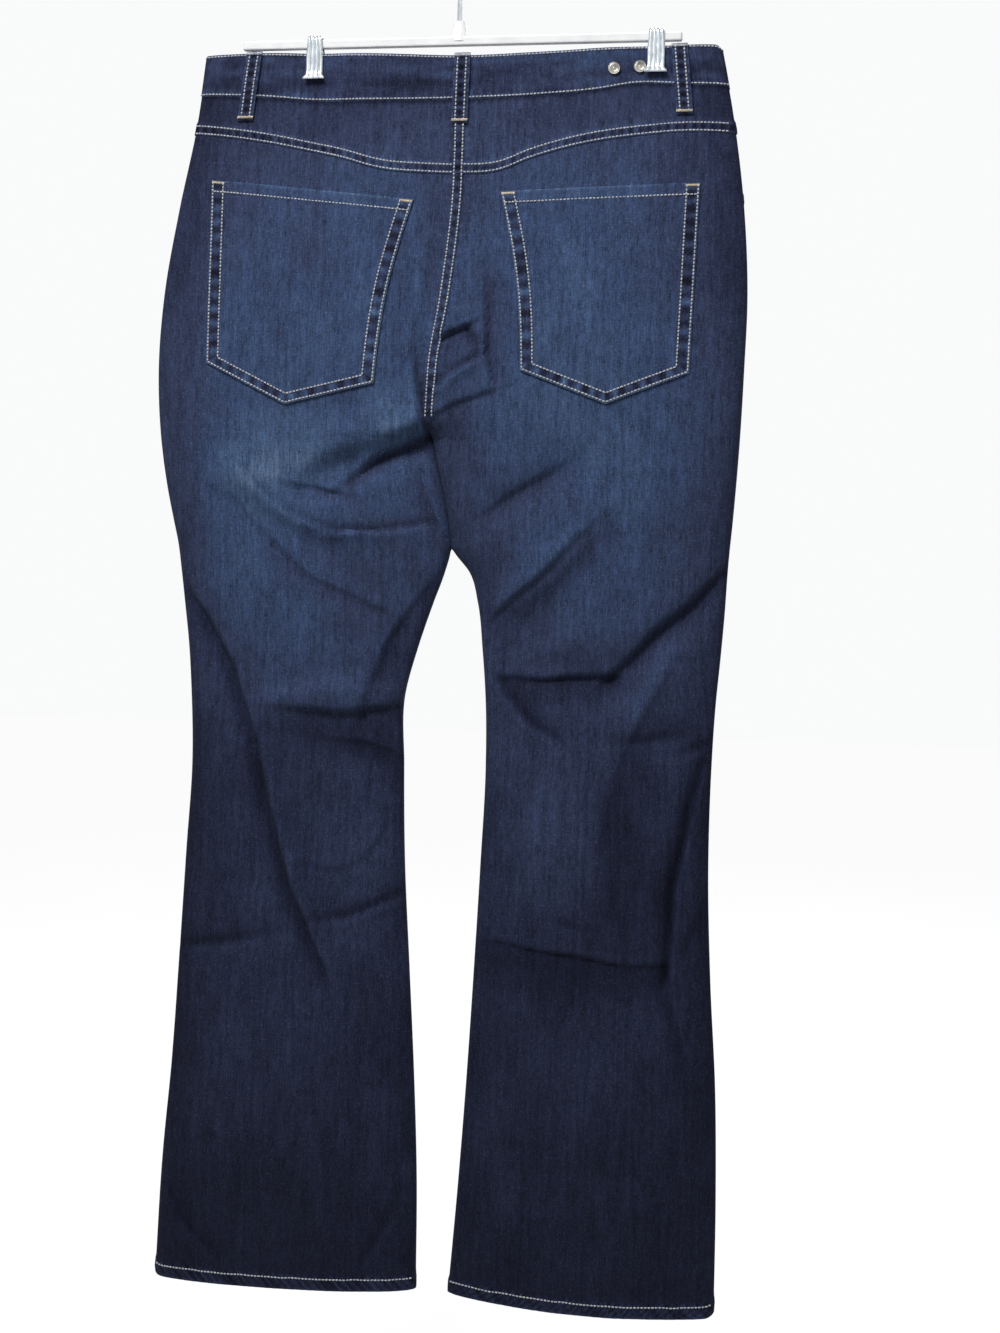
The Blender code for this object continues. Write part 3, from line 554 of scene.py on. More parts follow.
# Cut of each piece of cloth that shows, in metres and square metres, and what it hangs from
SHEET_COLUMNS = ("piece", "width", "length", "area", "rests_on")
SHEETS = (
    ("waistband", 0.037, 0.910, 0.0335, ("clip_left_metal", "clip_right_metal")),
    ("yoke_left", 0.241, 0.073, 0.0117, ("waistband_cloth",)),
    ("yoke_right", 0.232, 0.076, 0.0112, ("waistband_cloth",)),
    ("leg_back_left", 0.276, 0.995, 0.228, ("yoke_left_cloth",)),
    ("leg_back_right", 0.275, 0.990, 0.226, ("yoke_right_cloth",)),
    ("leg_front_left", 0.270, 1.020, 0.227, ("waistband_cloth",)),
    ("leg_front_right", 0.270, 1.015, 0.224, ("waistband_cloth",)),
    ("pocket_facing_left", 0.153, 0.097, 0.0084, ("waistband_cloth",)),
    ("pocket_facing_right", 0.148, 0.101, 0.0087, ("waistband_cloth",)),
    ("pocket_back_left", 0.180, 0.192, 0.0269, ("leg_back_left_cloth",)),
    ("pocket_back_right", 0.167, 0.183, 0.0245, ("leg_back_right_cloth",)),
    ("fly_shield", 0.044, 0.159, 0.0069, ("waistband_cloth",)),
    ("belt_loop_back_left", 0.0135, 0.059, 0.00079, ("waistband_cloth",)),
    ("belt_loop_back_centre", 0.0135, 0.059, 0.00079, ("waistband_cloth",)),
    ("belt_loop_back_right", 0.0135, 0.059, 0.00079, ("waistband_cloth",)),
    ("belt_loop_front_left", 0.0135, 0.060, 0.00080, ("waistband_cloth",)),
    ("belt_loop_front_right", 0.0135, 0.060, 0.00080, ("waistband_cloth",)),
)

# Floor, studio light and camera, in metres
FLOOR_Z = -1.30
FLOOR_HALF = 9
BACKDROP = (0.95, 0.955, 0.96, 1)
AMBIENT = 0.24
GLOSS_BACKDROP = 0.34
LIGHT_COLUMNS = ("name", "place", "aim", "wide", "tall", "watts")
LIGHTS = (
    ("key_light", (-0.55, -1.5, 1.35), (0, 0, -0.5), 1.1, 0.8, 52),
    ("fill_light", (1.5, -1.9, 0.1), (0, 0, -0.6), 1.2, 1.2, 4),
    ("front_light", (0.9, 1.9, 1.3), (0, 0, -0.5), 1.2, 1.0, 52),
)
AZIMUTH = math.radians(8.5)
ELEVATION = math.radians(1.8)
ROLL = math.radians(1.4)
DISTANCE = 1.5
TARGET = np.array([0.0474, 0.0, -0.6235])
LENS = 48.15


def rows_of(table, names, **wanted):
    """The rows of a table by column name, of those that hold the wanted values."""
    rows = [dict(zip(names, row)) for row in table]
    return [row for row in rows if all(row[name] == value for name, value in wanted.items())]


def smooth_curve(xs, ys, x):
    """A smooth curve through the points of a table, read at x, and level beyond its ends."""
    xs = np.asarray(xs, float)
    ys = np.asarray(ys, float)
    x = np.clip(x, xs[0], xs[-1])
    slopes = np.gradient(ys, xs)
    i = np.clip(np.searchsorted(xs, x) - 1, 0, len(xs) - 2)
    step = xs[i + 1] - xs[i]
    t = (x - xs[i]) / step
    level = ys[i] * (1 + 2 * t) * (1 - t) ** 2 + ys[i + 1] * t * t * (3 - 2 * t)
    return level + slopes[i] * step * t * (1 - t) ** 2 + slopes[i + 1] * step * t * t * (t - 1)


def column(table, names, name, at):
    rows = np.array(table, float)
    return smooth_curve(rows[:, 0], rows[:, names.index(name)], at)


def across(table, x):
    return column(table, ("x", "value"), "value", x)


def outline(name, drop):
    return column(OUTLINE, OUTLINE_COLUMNS, name, drop)


def ease(t):
    """0 below 0, 1 above 1, and smooth between."""
    t = np.clip(t, 0, 1)
    return t * t * (3 - 2 * t)


def bell(off, width, power=2):
    """1 on a line and falling off over a width on both sides, with squarer shoulders for a high power."""
    return np.exp(-((off / width) ** power))


def lattice(u, v, seed):
    """Smooth noise from -1 to 1 with a cell of one unit."""
    values = np.random.default_rng(seed).uniform(-1, 1, (LATTICE, LATTICE))
    u, v = np.broadcast_arrays(np.asarray(u, float), np.asarray(v, float))
    iu = np.floor(u).astype(int)
    iv = np.floor(v).astype(int)
    fu = ease(u - iu)
    fv = ease(v - iv)

    def row(k):
        near = values[iu % LATTICE, (iv + k) % LATTICE]
        return near * (1 - fu) + values[(iu + 1) % LATTICE, (iv + k) % LATTICE] * fu

    return row(0) * (1 - fv) + row(1) * fv


def blotches(u, v, table, shift_u=0, shift_v=0):
    """Sum of smooth noises of several sizes."""
    return sum(
        spot["strength"] * lattice(u / spot["wide"] + shift_u, v / spot["tall"] + shift_v, spot["seed"])
        for spot in rows_of(table, BLOTCH_COLUMNS)
    )


def edges(drop, leg, face):
    """x of the outseam and of the inner edge at a drop."""
    side = LEG_NAME[leg] + "_in"
    inner = outline(side, drop)
    left = outline("left_in", drop)
    if leg == 1:
        inner = np.maximum(inner, left)
    if face == 1:
        straight = CENTRE_X + (outline(side, CROTCH) - CENTRE_X) * (drop / CROTCH) ** 2
        inner = np.where(drop < CROTCH, straight, inner)
    apart = outline("right_in", drop) - left
    gap = np.where(drop < CROTCH, SEAM_GAP / 2, np.where(apart < 1, -THIGH_PRESS, THIGH_GAP / 2))
    return outline(LEG_NAME[leg] + "_out", drop), inner + leg * gap


def closing(drop, face):
    """0 where the section is open at the centre seam, 1 where the leg is a closed tube."""
    start = CLEFT_START[face]
    return np.clip((drop - start) / (CROTCH - start), 0, 1)


def section(x, drop, leg, face):
    """(s, end): the place in the section, from -1 at the outseam, and how far the section closes."""
    outer, inner = edges(drop, leg, face)
    end = closing(drop, face)
    return -1 + np.clip((x - outer) / (inner - outer), 0, 1) * (1 + end), end


def profile(s):
    return np.clip(1 - np.abs(s) ** SQUARENESS, 0, 1) ** (1 / SQUARENESS)


def turn_aside(s):
    """How far the cloth faces sideways at a place in the section."""
    return np.sign(s) * np.abs(s) ** EDGE_TURN


def pinch(x, drop, depth):
    """How far the two clips press the waistband's layers together."""
    grip = sum(bell(x - at, PINCH_WIDE) for at in CLIP_X.values())
    fade = bell(np.maximum(drop - CLIP_LOW, 0), PINCH_DEEP)
    return 1 - (1 - PINCHED_DEPTH / depth) * np.minimum(grip, 1) * fade


def along_run(fold, x, drop):
    """(share, off, beyond): the place along a fold's run, beside it and past its ends."""
    run_x = fold["x1"] - fold["x0"]
    run_d = fold["drop1"] - fold["drop0"]
    length = math.hypot(run_x, run_d)
    along = ((x - fold["x0"]) * run_x + (drop - fold["drop0"]) * run_d) / length**2
    off = ((x - fold["x0"]) * -run_d + (drop - fold["drop0"]) * run_x) / length
    inside = np.clip(along, 0, 1)
    return inside, off - fold["bow"] * 4 * inside * (1 - inside), (along - inside) * length


def fold_height(table, x, drop, face):
    """Sum of soft folds at a place on one face."""
    total = np.zeros(np.broadcast(x, drop).shape)
    for fold in rows_of(table, FOLD_COLUMNS, face=face):
        inside, off, beyond = along_run(fold, x, drop)
        taper = FOLD_END + (1 - FOLD_END) * np.sin(math.pi * inside) ** FOLD_TAPER
        lean = fold.get("lean", 0)
        width = fold["width"] * np.where(off > 0, 1 - lean, 1 + lean)
        total = total + fold["height"] * taper * bell(off, width) * bell(beyond, fold["width"])
    return total


def each_lip(x, drop, leg, face):
    """(lip, off, over, fade) of each overhanging crease: beside it, above its lip, and its strength."""
    wander = LIP_WANDER * lattice((x + drop) / 34, (x - drop) / 50, 81)
    for lip in rows_of(LIPS, LIP_COLUMNS, face=face, leg=leg):
        inside, off, beyond = along_run(lip, x, drop)
        off = off + wander
        taper = lip["head"] + (lip["tail"] - lip["head"]) * inside + LIP_SWELL * np.sin(math.pi * inside)
        yield lip, off, 0.5 + 0.5 * np.tanh(off / LIP_SOFT), taper * bell(beyond, lip["width"])


def lip_height(x, drop, leg, face):
    """Sum of the overhanging creases at a place on one face."""
    total = np.zeros(np.broadcast(x, drop).shape)
    for lip, off, over, fade in each_lip(x, drop, leg, face):
        swell = lip["rise"] * bell(off, lip["width"])
        under = lip["fall"] * bell(off, LIP_UNDER * lip["width"])
        total = total + fade * (over * swell - (1 - over) * under)
    return total


def lip_painted_shade_and_wear(x, drop, leg, face):
    """Painted shade under each lip, and a paler edge along it, partly wear and partly a painted highlight.
    """
    total = np.zeros(np.broadcast(x, drop).shape)
    for lip, off, over, fade in each_lip(x, drop, leg, face):
        # The lip's edge: partly wear, partly a painted highlight. Under the lip: painted shade.
        wear_and_highlight = LIP_WEAR_AND_HIGHLIGHT * lip["rise"] * bell(off - LIP_EDGE, LIP_EDGE_WIDE)
        total = total + fade * (over * wear_and_highlight - (1 - over) * lip["shade"] * bell(off, lip["reach"]))
    return total


def centre_seam(drop, face):
    return edges(drop, -1, face)[1] + SEAM_GAP / 2


def pucker(along, seed):
    """Uneven bumps along a line of stitches, from -1 to 1."""
    along = np.asarray(along)
    wander = 2.2 * lattice(along / 34, 0.5, seed + 300)
    even = 0.55 * np.sin(2 * math.pi * along / PUCKER_PITCH + wander)
    return even + 0.6 * lattice(along / PUCKER, 0.5, seed)


def marks(off, along, table):
    """Sum of the bands beside a line of sewing."""
    total = 0
    for mark in rows_of(table, MARK_COLUMNS):
        strength = mark["level"]
        if mark["ripple"]:
            strength = strength + mark["ripple"] * pucker(along * mark["stretch"], mark["seed"])
        total = total + strength * bell(np.abs(off) - mark["at"], mark["width"], mark["power"])
    return total


def seam_relief(x, drop, leg, face):
    """(height, wash) that sewing adds beside the seams of a panel, and a painted shadow just under the
    waistband's edge.
    """
    height = wash_and_shade = 0 * x
    if face == -1:
        off = drop - across(YOKE_SEAM, x)
        height = height + marks(off, x, YOKE_RELIEF)
        wash_and_shade = wash_and_shade + marks(off, x, YOKE_WEAR) + marks(drop - band_low(x, -1), x, BAND_WEAR_AND_SHADOW)
    middle = x - centre_seam(drop, face)
    sewn = fade_out(drop, CENTRE_FADE)
    up = hem_edge(leg)(x) - drop
    turned = ease((HEM_TURN + 0.8 - up) / 1.2)
    rope = pucker(x + 0.9 * up, 26)
    height = height + marks(middle, drop, CENTRE_RELIEF) * sewn
    wash_and_shade = wash_and_shade + marks(middle, drop, CENTRE_WEAR) * sewn
    height = height + turned * (HEM_RISE + 0.28 * rope) - 0.5 * bell(up, 1.0)
    return height, wash_and_shade + turned * (0.46 * rope + 0.12) + marks(up, x, HEM_WEAR)


def fade_out(drop, fade):
    """1 well above a drop and 0 below it."""
    end, over = fade
    return ease((end - drop) / over)


def face_depth(x, drop, leg, face):
    """(depth, s): how far the cloth stands from the mid plane, and its place in the section."""
    s, _ = section(x, drop, leg, face)
    depth = column(DEPTH, DEPTH_COLUMNS, FACE_NAME[face], drop)
    shape = profile(s)
    lumps = blotches(x, drop, LUMPS, 7 * face, 5 * leg) * ease((drop - LUMPS_START) / LUMPS_FADE)
    folds = fold_height(FOLDS + CREASES, x, drop, face) + lip_height(x, drop, leg, face) + lumps
    folds = folds * np.minimum(FOLD_SPREAD * shape, 1)
    return np.maximum(depth * shape * pinch(x, drop, depth) + folds, SEAM_CLOSE), s


def place(x, drop, leg, face, lift=0.0):
    """Points in millimetres at x and drop on one face, moved out of the cloth by lift."""
    depth, s = face_depth(x, drop, leg, face)
    away = np.maximum(depth + lift * profile(s), SEAM_CLOSE)
    return np.stack([x - lift * leg * turn_aside(s), face * away, BAND_TOP - drop], axis=-1)


def place_either(x, drop, face, lift=0.0):
    """As place, on whichever side of the centre seam each point lies."""
    left = place(x, drop, -1, face, lift)
    right = place(x, drop, 1, face, lift)
    return np.where((x < centre_seam(drop, face))[..., None], left, right)


def place_panel(x, drop, leg, face, lift):
    """As place, for the panels, of which the left one laps over the centre seam."""
    return place_either(x, drop, face, lift) if leg == -1 else place(x, drop, leg, face, lift)


def across_steps(share, drop, leg, face):
    """Places from the outseam to the inner edge, closer together where the section is round."""
    turn = share * np.arccos(-closing(drop, face))
    reach = (1 - np.cos(turn)) / (1 + closing(drop, face))
    outer, inner = edges(drop, leg, face)
    return outer + (inner - outer) * reach


def patch(grid, leg, face, top, low, fade=1):
    """x and drop of a grid between two edges that run across a panel. A high fade levels its rows early."""
    rows, columns = grid
    down = np.linspace(0, 1, rows)[:, None] * np.ones(columns)
    down = down * (GRID_HIGH + (1 - GRID_HIGH) * down)
    share = np.linspace(0, 1, columns)
    ends = []
    for edge in (top, low):
        x = np.full(columns, leg * BAND_HALF / 2)
        for _ in range(SETTLE_STEPS):
            x = (x + across_steps(share, edge(x), leg, face)) / 2
        ends.append(edge(x))
    level = ends[0].min()
    drop = level + (ends[1] - level) * down + (ends[0] - level) * (1 - down) ** fade
    return across_steps(share * np.ones((rows, 1)), drop, leg, face), drop


def hem_edge(leg):
    """The drop of a leg's hem, as a function of x."""
    outer = outline(LEG_NAME[leg] + "_out", HEM[leg][0])
    inner = outline(LEG_NAME[leg] + "_in", HEM[leg][0])
    low = sorted(zip((outer, (outer + inner) / 2, inner), HEM[leg]))

    def low_edge(x):
        corner = np.clip(1 - np.abs(x - outer) / HEM_CORNER, 0, 1)
        return across(low, x) - HEM_CUT * corner**CORNER_POWER

    return low_edge


def front_dip(x):
    """The front of the waistband hangs lower than the back between the clips."""
    middle = (CLIP_X["left"] + CLIP_X["right"]) / 2
    half = (CLIP_X["right"] - CLIP_X["left"]) / 2
    return FRONT_DIP * np.clip(1 - ((x - middle) / half) ** 2, 0, 1)


def band_top(x, face):
    corner = np.clip((x - BAND_HALF + BAND_CORNER) / BAND_CORNER, 0, 1) ** CORNER_POWER
    return across(BAND_TOP_EDGE, x) + BAND_CUT * corner + (front_dip(x) if face == 1 else 0)


def band_low(x, face):
    return band_top(x, 1) + FRONT_BAND_HEIGHT if face == 1 else across(BAND_SEAM, x)


def tucked(x, face):
    """Drop of the edge that is sewn into the waistband."""
    return band_low(x, face) - TUCK


def scoop_edge(x, leg):
    """Drop of the front pocket's curved mouth, measured from the waistband's seam."""
    away = np.clip(np.abs(x - leg * SCOOP_CORNER) / SCOOP_WIDE, 0, 1)
    return SCOOP_DEEP * np.sqrt(1 - away**2)


def scoop_distance(x, drop, leg):
    """Rough distance from the front pocket's mouth, into the panel."""
    aside = (leg * SCOOP_CORNER - x) * leg / SCOOP_WIDE
    below = (drop - band_low(x, 1)) / SCOOP_DEEP
    return np.maximum(np.hypot(aside, below) - 1, 0) * (SCOOP_WIDE + SCOOP_DEEP) / 2


def panel_wash_and_shade(x, drop, leg, face):
    """How pale the cloth is at a place, from its fade and its seams, with painted shade in the troughs of
    its folds and under its lips and a painted highlight on their ridges, partly also wear.
    """
    s, end = section(x, drop, leg, face)
    wash_and_shade = column(WASH, WASH_COLUMNS, LEG_NAME[leg], drop) - (FRONT_WASH if face == 1 else 0)
    low = np.where(s < 0, EDGE_WASH, INSEAM_WASH * end)
    wash_and_shade = wash_and_shade - low * np.abs(s) ** EDGE_POWER * ease(wash_and_shade / WORN_ENOUGH)
    for spot in rows_of(PATCHES, PATCH_COLUMNS, face=face):
        near = bell(x - spot["x"], spot["wide"]) * bell(drop - spot["drop"], spot["tall"])
        wash_and_shade = wash_and_shade + spot["strength"] * near
    # Painted shade in the troughs of folds and creases and a painted highlight on their ridges, partly also
    # wear.
    for table, gain, least, most in ((CREASES, 0.05, -4, 2), (FOLDS, 0.008, -8, 4)):
        wash_and_shade = wash_and_shade + gain * np.clip(fold_height(table, x, drop, face), least, most)
    wash_and_shade = wash_and_shade + lip_painted_shade_and_wear(x, drop, leg, face) + seam_relief(x, drop, leg, face)[1]
    return wash_and_shade + blotches(x, drop, BROAD_BLOTCHES, leg) + blotches(x, drop, FINE_BLOTCHES)


def srgb(red, green, blue):
    """Linear colour of a display colour."""
    shares = np.array([red, green, blue]) / 255
    return tuple(np.where(shares <= 0.04045, shares / 12.92, ((shares + 0.055) / 1.055) ** 2.4))


class Graph:
    """A material's node tree, with short calls to add its nodes."""

    def __init__(self, name):
        self.material = bpy.data.materials.new(name)
        self.material.use_nodes = True
        self.tree = self.material.node_tree
        self.shader = self.tree.nodes["Principled BSDF"]

    def add(self, kind, **settings):
        node = self.tree.nodes.new("ShaderNode" + kind)
        for key, value in settings.items():
            setattr(node, key, value)
        return node

    def fill(self, sockets, **values):
        """Links or sets sockets by name."""
        for name, value in values.items():
            socket = sockets[name.replace("_", " ")]
            if isinstance(value, bpy.types.NodeSocket):
                self.tree.links.new(value, socket)
            else:
                socket.default_value = value

    def set(self, **values):
        self.fill(self.shader.inputs, **values)

    def maths(self, operation, *values):
        node = self.add("Math", operation=operation)
        for value, socket in zip(values, node.inputs):
            self.fill({"socket": socket}, socket=value)
        return node.outputs[0]

    def around(self, value, gain, base):
        """base, plus gain times how far a value is above one half."""
        return self.maths("MULTIPLY_ADD", self.maths("SUBTRACT", value, 0.5), gain, base)

    def scaled(self, vector, scale, shift=(0, 0, 0)):
        node = self.add("Mapping")
        self.fill(node.inputs, Vector=vector, Scale=scale, Location=shift)
        return node.outputs[0]

    def noise(self, vector, scale, detail=2.0, roughness=0.5):
        node = self.add("TexNoise")
        self.fill(node.inputs, Vector=vector, Scale=scale, Detail=detail, Roughness=roughness)
        return node.outputs["Fac"]

    def ramp(self, value, stops):
        node = self.add("ValToRGB")
        self.fill(node.inputs, Fac=value)
        elements = node.color_ramp.elements
        while len(elements) < len(stops):
            elements.new(0.5)
        for element, (at, colour) in zip(elements, stops):
            element.position = at
            element.color = (*colour, 1)
        return node.outputs[0]

    def mix(self, share, a, b):
        node = self.add("Mix", data_type="RGBA")
        for value, socket in zip((share, a, b), (node.inputs[0], node.inputs[6], node.inputs[7])):
            self.fill({"socket": socket}, socket=value)
        return node.outputs[2]

    def bump(self, height, distance, strength, **under):
        node = self.add("Bump")
        self.fill(node.inputs, Height=height, Distance=distance, Strength=strength, **under)
        return node.outputs[0]


def denim(name, reverse=False):
    """Indigo twill: faded blue warp over pale weft, with slubs down it and a diagonal rib."""
    graph = Graph(name)
    cloth = graph.add("Attribute", attribute_name="cloth").outputs["Vector"]
    wash_and_shade = graph.add("Attribute", attribute_name="wash_and_shade").outputs["Fac"]
    streak = graph.noise(graph.scaled(cloth, (1, 0.13, 1)), 860, 2.0, 0.6)
    slub = graph.noise(graph.scaled(cloth, (1, 0.07, 1), (3, 1, 0)), 260, 3.0, 0.65)
    mottle = graph.noise(cloth, 70, 5.0, 0.7)
    weft = graph.noise(graph.scaled(cloth, (0.35, 1, 1), (0, 5, 0)), 800, 1.0, 0.5)
    speck = graph.noise(graph.scaled(cloth, (1, 0.35, 1), (9, 2, 0)), 1150, 1.0, 0.6)
    rib = graph.add("TexWave", wave_type="BANDS", bands_direction="DIAGONAL")
    turned = graph.scaled(cloth, (1, -0.55, 0))
    graph.fill(rib.inputs, Vector=turned, Scale=480, Distortion=1.4, Detail=1.0, Detail_Scale=2.0)
    twill = rib.outputs["Fac"]
    value = graph.around(slub, 0.16, graph.maths("MULTIPLY_ADD", wash_and_shade, RAMP_SPAN, RAMP_START))
    gain = 1.0
    for source, strength in ((streak, 1.60), (slub, 0.92), (mottle, 1.00), (weft, 0.90), (twill, 0.22)):
        gain = graph.around(source, strength, gain)
    dyed = graph.add("VectorMath", operation="SCALE")
    colour = graph.ramp(value, [(at, srgb(*shade)) for at, shade in INDIGO])
    graph.fill(dyed.inputs, Vector=colour, Scale=graph.maths("MAXIMUM", gain, 0.25))
    fleck = graph.ramp(speck, ((0.60, (0, 0, 0)), (0.72, (1, 1, 1))))
    share = graph.maths("MULTIPLY", fleck, graph.maths("MULTIPLY", value, 0.26))
    colour = graph.mix(share, dyed.outputs[0], (*srgb(150, 164, 186), 1))
    if reverse:
        colour = graph.mix(0.62, colour, (*srgb(150, 158, 172), 1))
    fine = graph.bump(twill, 0.00012, 0.35)
    normal = graph.bump(graph.maths("ADD", streak, mottle), 0.0004, 0.30, Normal=fine)
    graph.set(Base_Color=colour, Roughness=graph.maths("MULTIPLY_ADD", mottle, 0.14, 0.76), Normal=normal)
    graph.set(Specular_IOR_Level=0.06, Sheen_Weight=0.02, Sheen_Roughness=0.5)
    return graph.material


def finish(name, sockets):
    """Thread, metal or plastic: smears of a darker tone, and a fine grain that may run one way."""
    look = rows_of(FINISHES, FINISH_COLUMNS, name=name)[0]
    graph = Graph(name)
    where = graph.add("TexCoord").outputs["Object"]
    smear = graph.noise(where, look["smear"], look["detail"], 0.6)
    stops = ((look["dark_at"], srgb(*look["dark"])), (look["pale_at"], srgb(*look["pale"])))
    grain = graph.noise(graph.scaled(where, (1, 1, look["stretch"])), look["grain"], look["grain_detail"])
    graph.set(
        Base_Color=graph.ramp(smear, stops),
        Roughness=graph.maths("MULTIPLY_ADD", smear, look["spread"], look["rough"]),
        Normal=graph.bump(grain, look["depth"], look["strength"]),
        **sockets,
    )
    return graph.material


def add_object(name, data):
    made = bpy.data.objects.new(name, data)
    bpy.context.scene.collection.objects.link(made)
    return made


def add_mesh(name, points, faces, materials, sharp=48, indexes=None):
    """A new object from points in millimetres, with its faces turned outwards."""
    mesh = bpy.data.meshes.new(name)
    mesh.from_pydata((np.asarray(points) * MM).tolist(), [], faces)
    for item in materials:
        mesh.materials.append(item)
    if indexes is not None:
        mesh.polygons.foreach_set("material_index", indexes)
    cage = bmesh.new()
    cage.from_mesh(mesh)
    bmesh.ops.recalc_face_normals(cage, faces=cage.faces)
    cage.to_mesh(mesh)
    cage.free()
    mesh.shade_smooth()
    mesh.set_sharp_from_angle(angle=math.radians(sharp))
    return add_object(name, mesh)


def stand_for(piece, slot, *nodes):
    """Puts a piece on the part's one body, in place of its nodes."""
    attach(piece, "root")
    if nodes:
        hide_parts(*nodes)
    return piece


def shell(name, outer, inner, cloth, wash_and_shade, materials):
    """A closed wall between two grids of points, with its places on the cloth and its wash with any painted
    shade.
    """
    rows, columns = outer.shape[:2]
    back = rows * columns
    index = np.arange(back).reshape(rows, columns)
    quads = np.stack([index[:-1, :-1], index[:-1, 1:], index[1:, 1:], index[1:, :-1]], axis=-1)
    quads = quads.reshape(-1, 4)
    rim = np.concatenate([index[0, :], index[1:, -1], index[-1, -2::-1], index[-2:0:-1, 0]])
    after = np.roll(rim, -1)
    sides = np.stack([rim, rim + back, after + back, after], axis=-1)
    faces = np.concatenate([quads, quads[:, ::-1] + back, sides])
    indexes = np.zeros(len(faces), int)
    indexes[len(quads):2 * len(quads)] = len(materials) - 1
    points = np.concatenate([outer.reshape(-1, 3), inner.reshape(-1, 3)])
    made = add_mesh(name, points, faces.tolist(), materials, indexes=indexes)
    on_cloth = np.stack(np.broadcast_arrays(*cloth, 0.0), axis=-1).reshape(-1, 3) * MM
    pale = np.broadcast_to(wash_and_shade, (rows, columns)).ravel()
    kept = (("cloth", "FLOAT_VECTOR", "vector", on_cloth), ("wash_and_shade", "FLOAT", "value", pale))
    for label, kind, field, values in kept:
        layer = made.data.attributes.new(label, kind, "POINT")
        layer.data.foreach_set(field, np.concatenate([values] * 2).ravel())
    return made


def cloth_coordinates(points):
    """Places on the cloth: across with the grain upright, and down. Round edges count at full length."""
    steps = np.diff(points, axis=1)
    spare = np.linalg.norm(steps[..., :2], axis=-1) - np.abs(steps[..., 0])
    turned = np.concatenate([np.zeros((points.shape[0], 1)), np.cumsum(spare, axis=1)], axis=1)
    turned = turned - turned[:, points.shape[1] // 2][:, None]
    way = np.sign(points[:, -1, 0] - points[:, 0, 0])[:, None]
    return points[..., 0] + way * turned, -points[..., 2]


def add_cloth(node, slot, outer, inner, wash_and_shade, cloth=None):
    """A piece of denim in place of its node."""
    made = shell(node + "_cloth", outer, inner, cloth or cloth_coordinates(outer), wash_and_shade, denim_pair)
    stand_for(made, slot, node)


def stitch(group, points, face):
    """A row of single stitches along a line of points that lies on the cloth."""
    reach = path_reach(points)
    count = max(1, int((reach[-1] - STITCH_SPARE) // STITCH_PITCH))
    middle = (np.arange(count) + 0.5) * reach[-1] / count
    start, end = [
        np.stack([np.interp(middle + away, reach, points[:, k]) for k in range(3)], axis=-1)
        for away in (-STITCH_LONG / 2, STITCH_LONG / 2)
    ]
    along = end - start
    along /= np.linalg.norm(along, axis=1)[:, None]
    outward = np.array([0.0, face, 0.0]) - along * (along[:, 1] * face)[:, None]
    outward /= np.linalg.norm(outward, axis=1)[:, None]
    threads.setdefault(group, []).append((start, end, along, outward, THREAD_RADIUS))


def bar_tack(group, centre, along, outward, width, tall=2.0):
    """A dense bar of thread: stitches side by side across a short line."""
    along = np.asarray(along, float) / np.linalg.norm(along)
    outward = np.asarray(outward, float)
    up = np.cross(outward, along)
    up /= np.linalg.norm(up)
    spots = centre + along * np.linspace(-width / 2, width / 2, int(width / TACK_PITCH))[:, None]
    lean = up * tall / 2 + along * TACK_LEAN
    ways = [np.broadcast_to(way, spots.shape) for way in (lean / np.linalg.norm(lean), outward)]
    threads.setdefault(group, []).append((spots - lean, spots + lean, *ways, TACK_RADIUS))


def path_reach(points):
    """Distance along a line of points, at each of them."""
    return np.concatenate([[0], np.cumsum(np.linalg.norm(np.diff(points, axis=0), axis=1))])


def ring_quads(rings, sides):
    """Faces between rings of points, for rings one after the other from point 0."""
    starts = sides * np.arange(rings - 1)[:, None]
    k = np.arange(sides)
    n = (k + 1) % sides
    return np.stack([starts + k, starts + n, starts + sides + n, starts + sides + k], axis=-1).reshape(-1, 4)


def stitch_mesh(name, material):
    """One mesh of all the stitches of a group."""
    angles = 2 * math.pi * np.arange(STITCH_SIDES) / STITCH_SIDES
    blocks = []
    for start, end, along, outward, radius in threads[name]:
        aside = np.cross(along, outward)
        spots = []
        for share, wide, lift in STITCH_RINGS:
            centre = start * (0.5 - share) + end * (0.5 + share) + outward * radius * lift
            spots += [centre + radius * wide * (math.cos(a) * aside + math.sin(a) * outward) for a in angles]
        blocks.append(np.stack(spots, axis=1).reshape(-1, 3))
    points = np.concatenate(blocks)
    each = len(STITCH_RINGS) * STITCH_SIDES
    starts = np.arange(0, len(points), each)[:, None]
    sides = (starts[:, :, None] + ring_quads(len(STITCH_RINGS), STITCH_SIDES)).reshape(-1, 4).tolist()
    caps = (starts + np.arange(STITCH_SIDES)[::-1]).tolist()
    caps += (starts + each - STITCH_SIDES + np.arange(STITCH_SIDES)).tolist()
    return add_mesh(name, points, sides + caps, [material], 80)


def lap_step(past):
    """Rise of a lapped edge over the cloth under it, with its rounded end."""
    return LAP_RISE * ease((past + 8) / 4) - LAP_ROUND * ease((past - LAP_OVER + 0.9) / 0.9)


def lap_centre(x, drop, lift, leg, face):
    """Carries the left panel's edge over the right panel along the centre seam."""
    if leg == 1:
        return x, lift
    fade = fade_out(drop, LAP_FADE)
    seam = centre_seam(drop, face)
    moved = x + ease((x - seam + 14) / 14) * LAP_OVER * fade
    return moved, lift + lap_step(moved - centre_seam(drop, face)) * fade


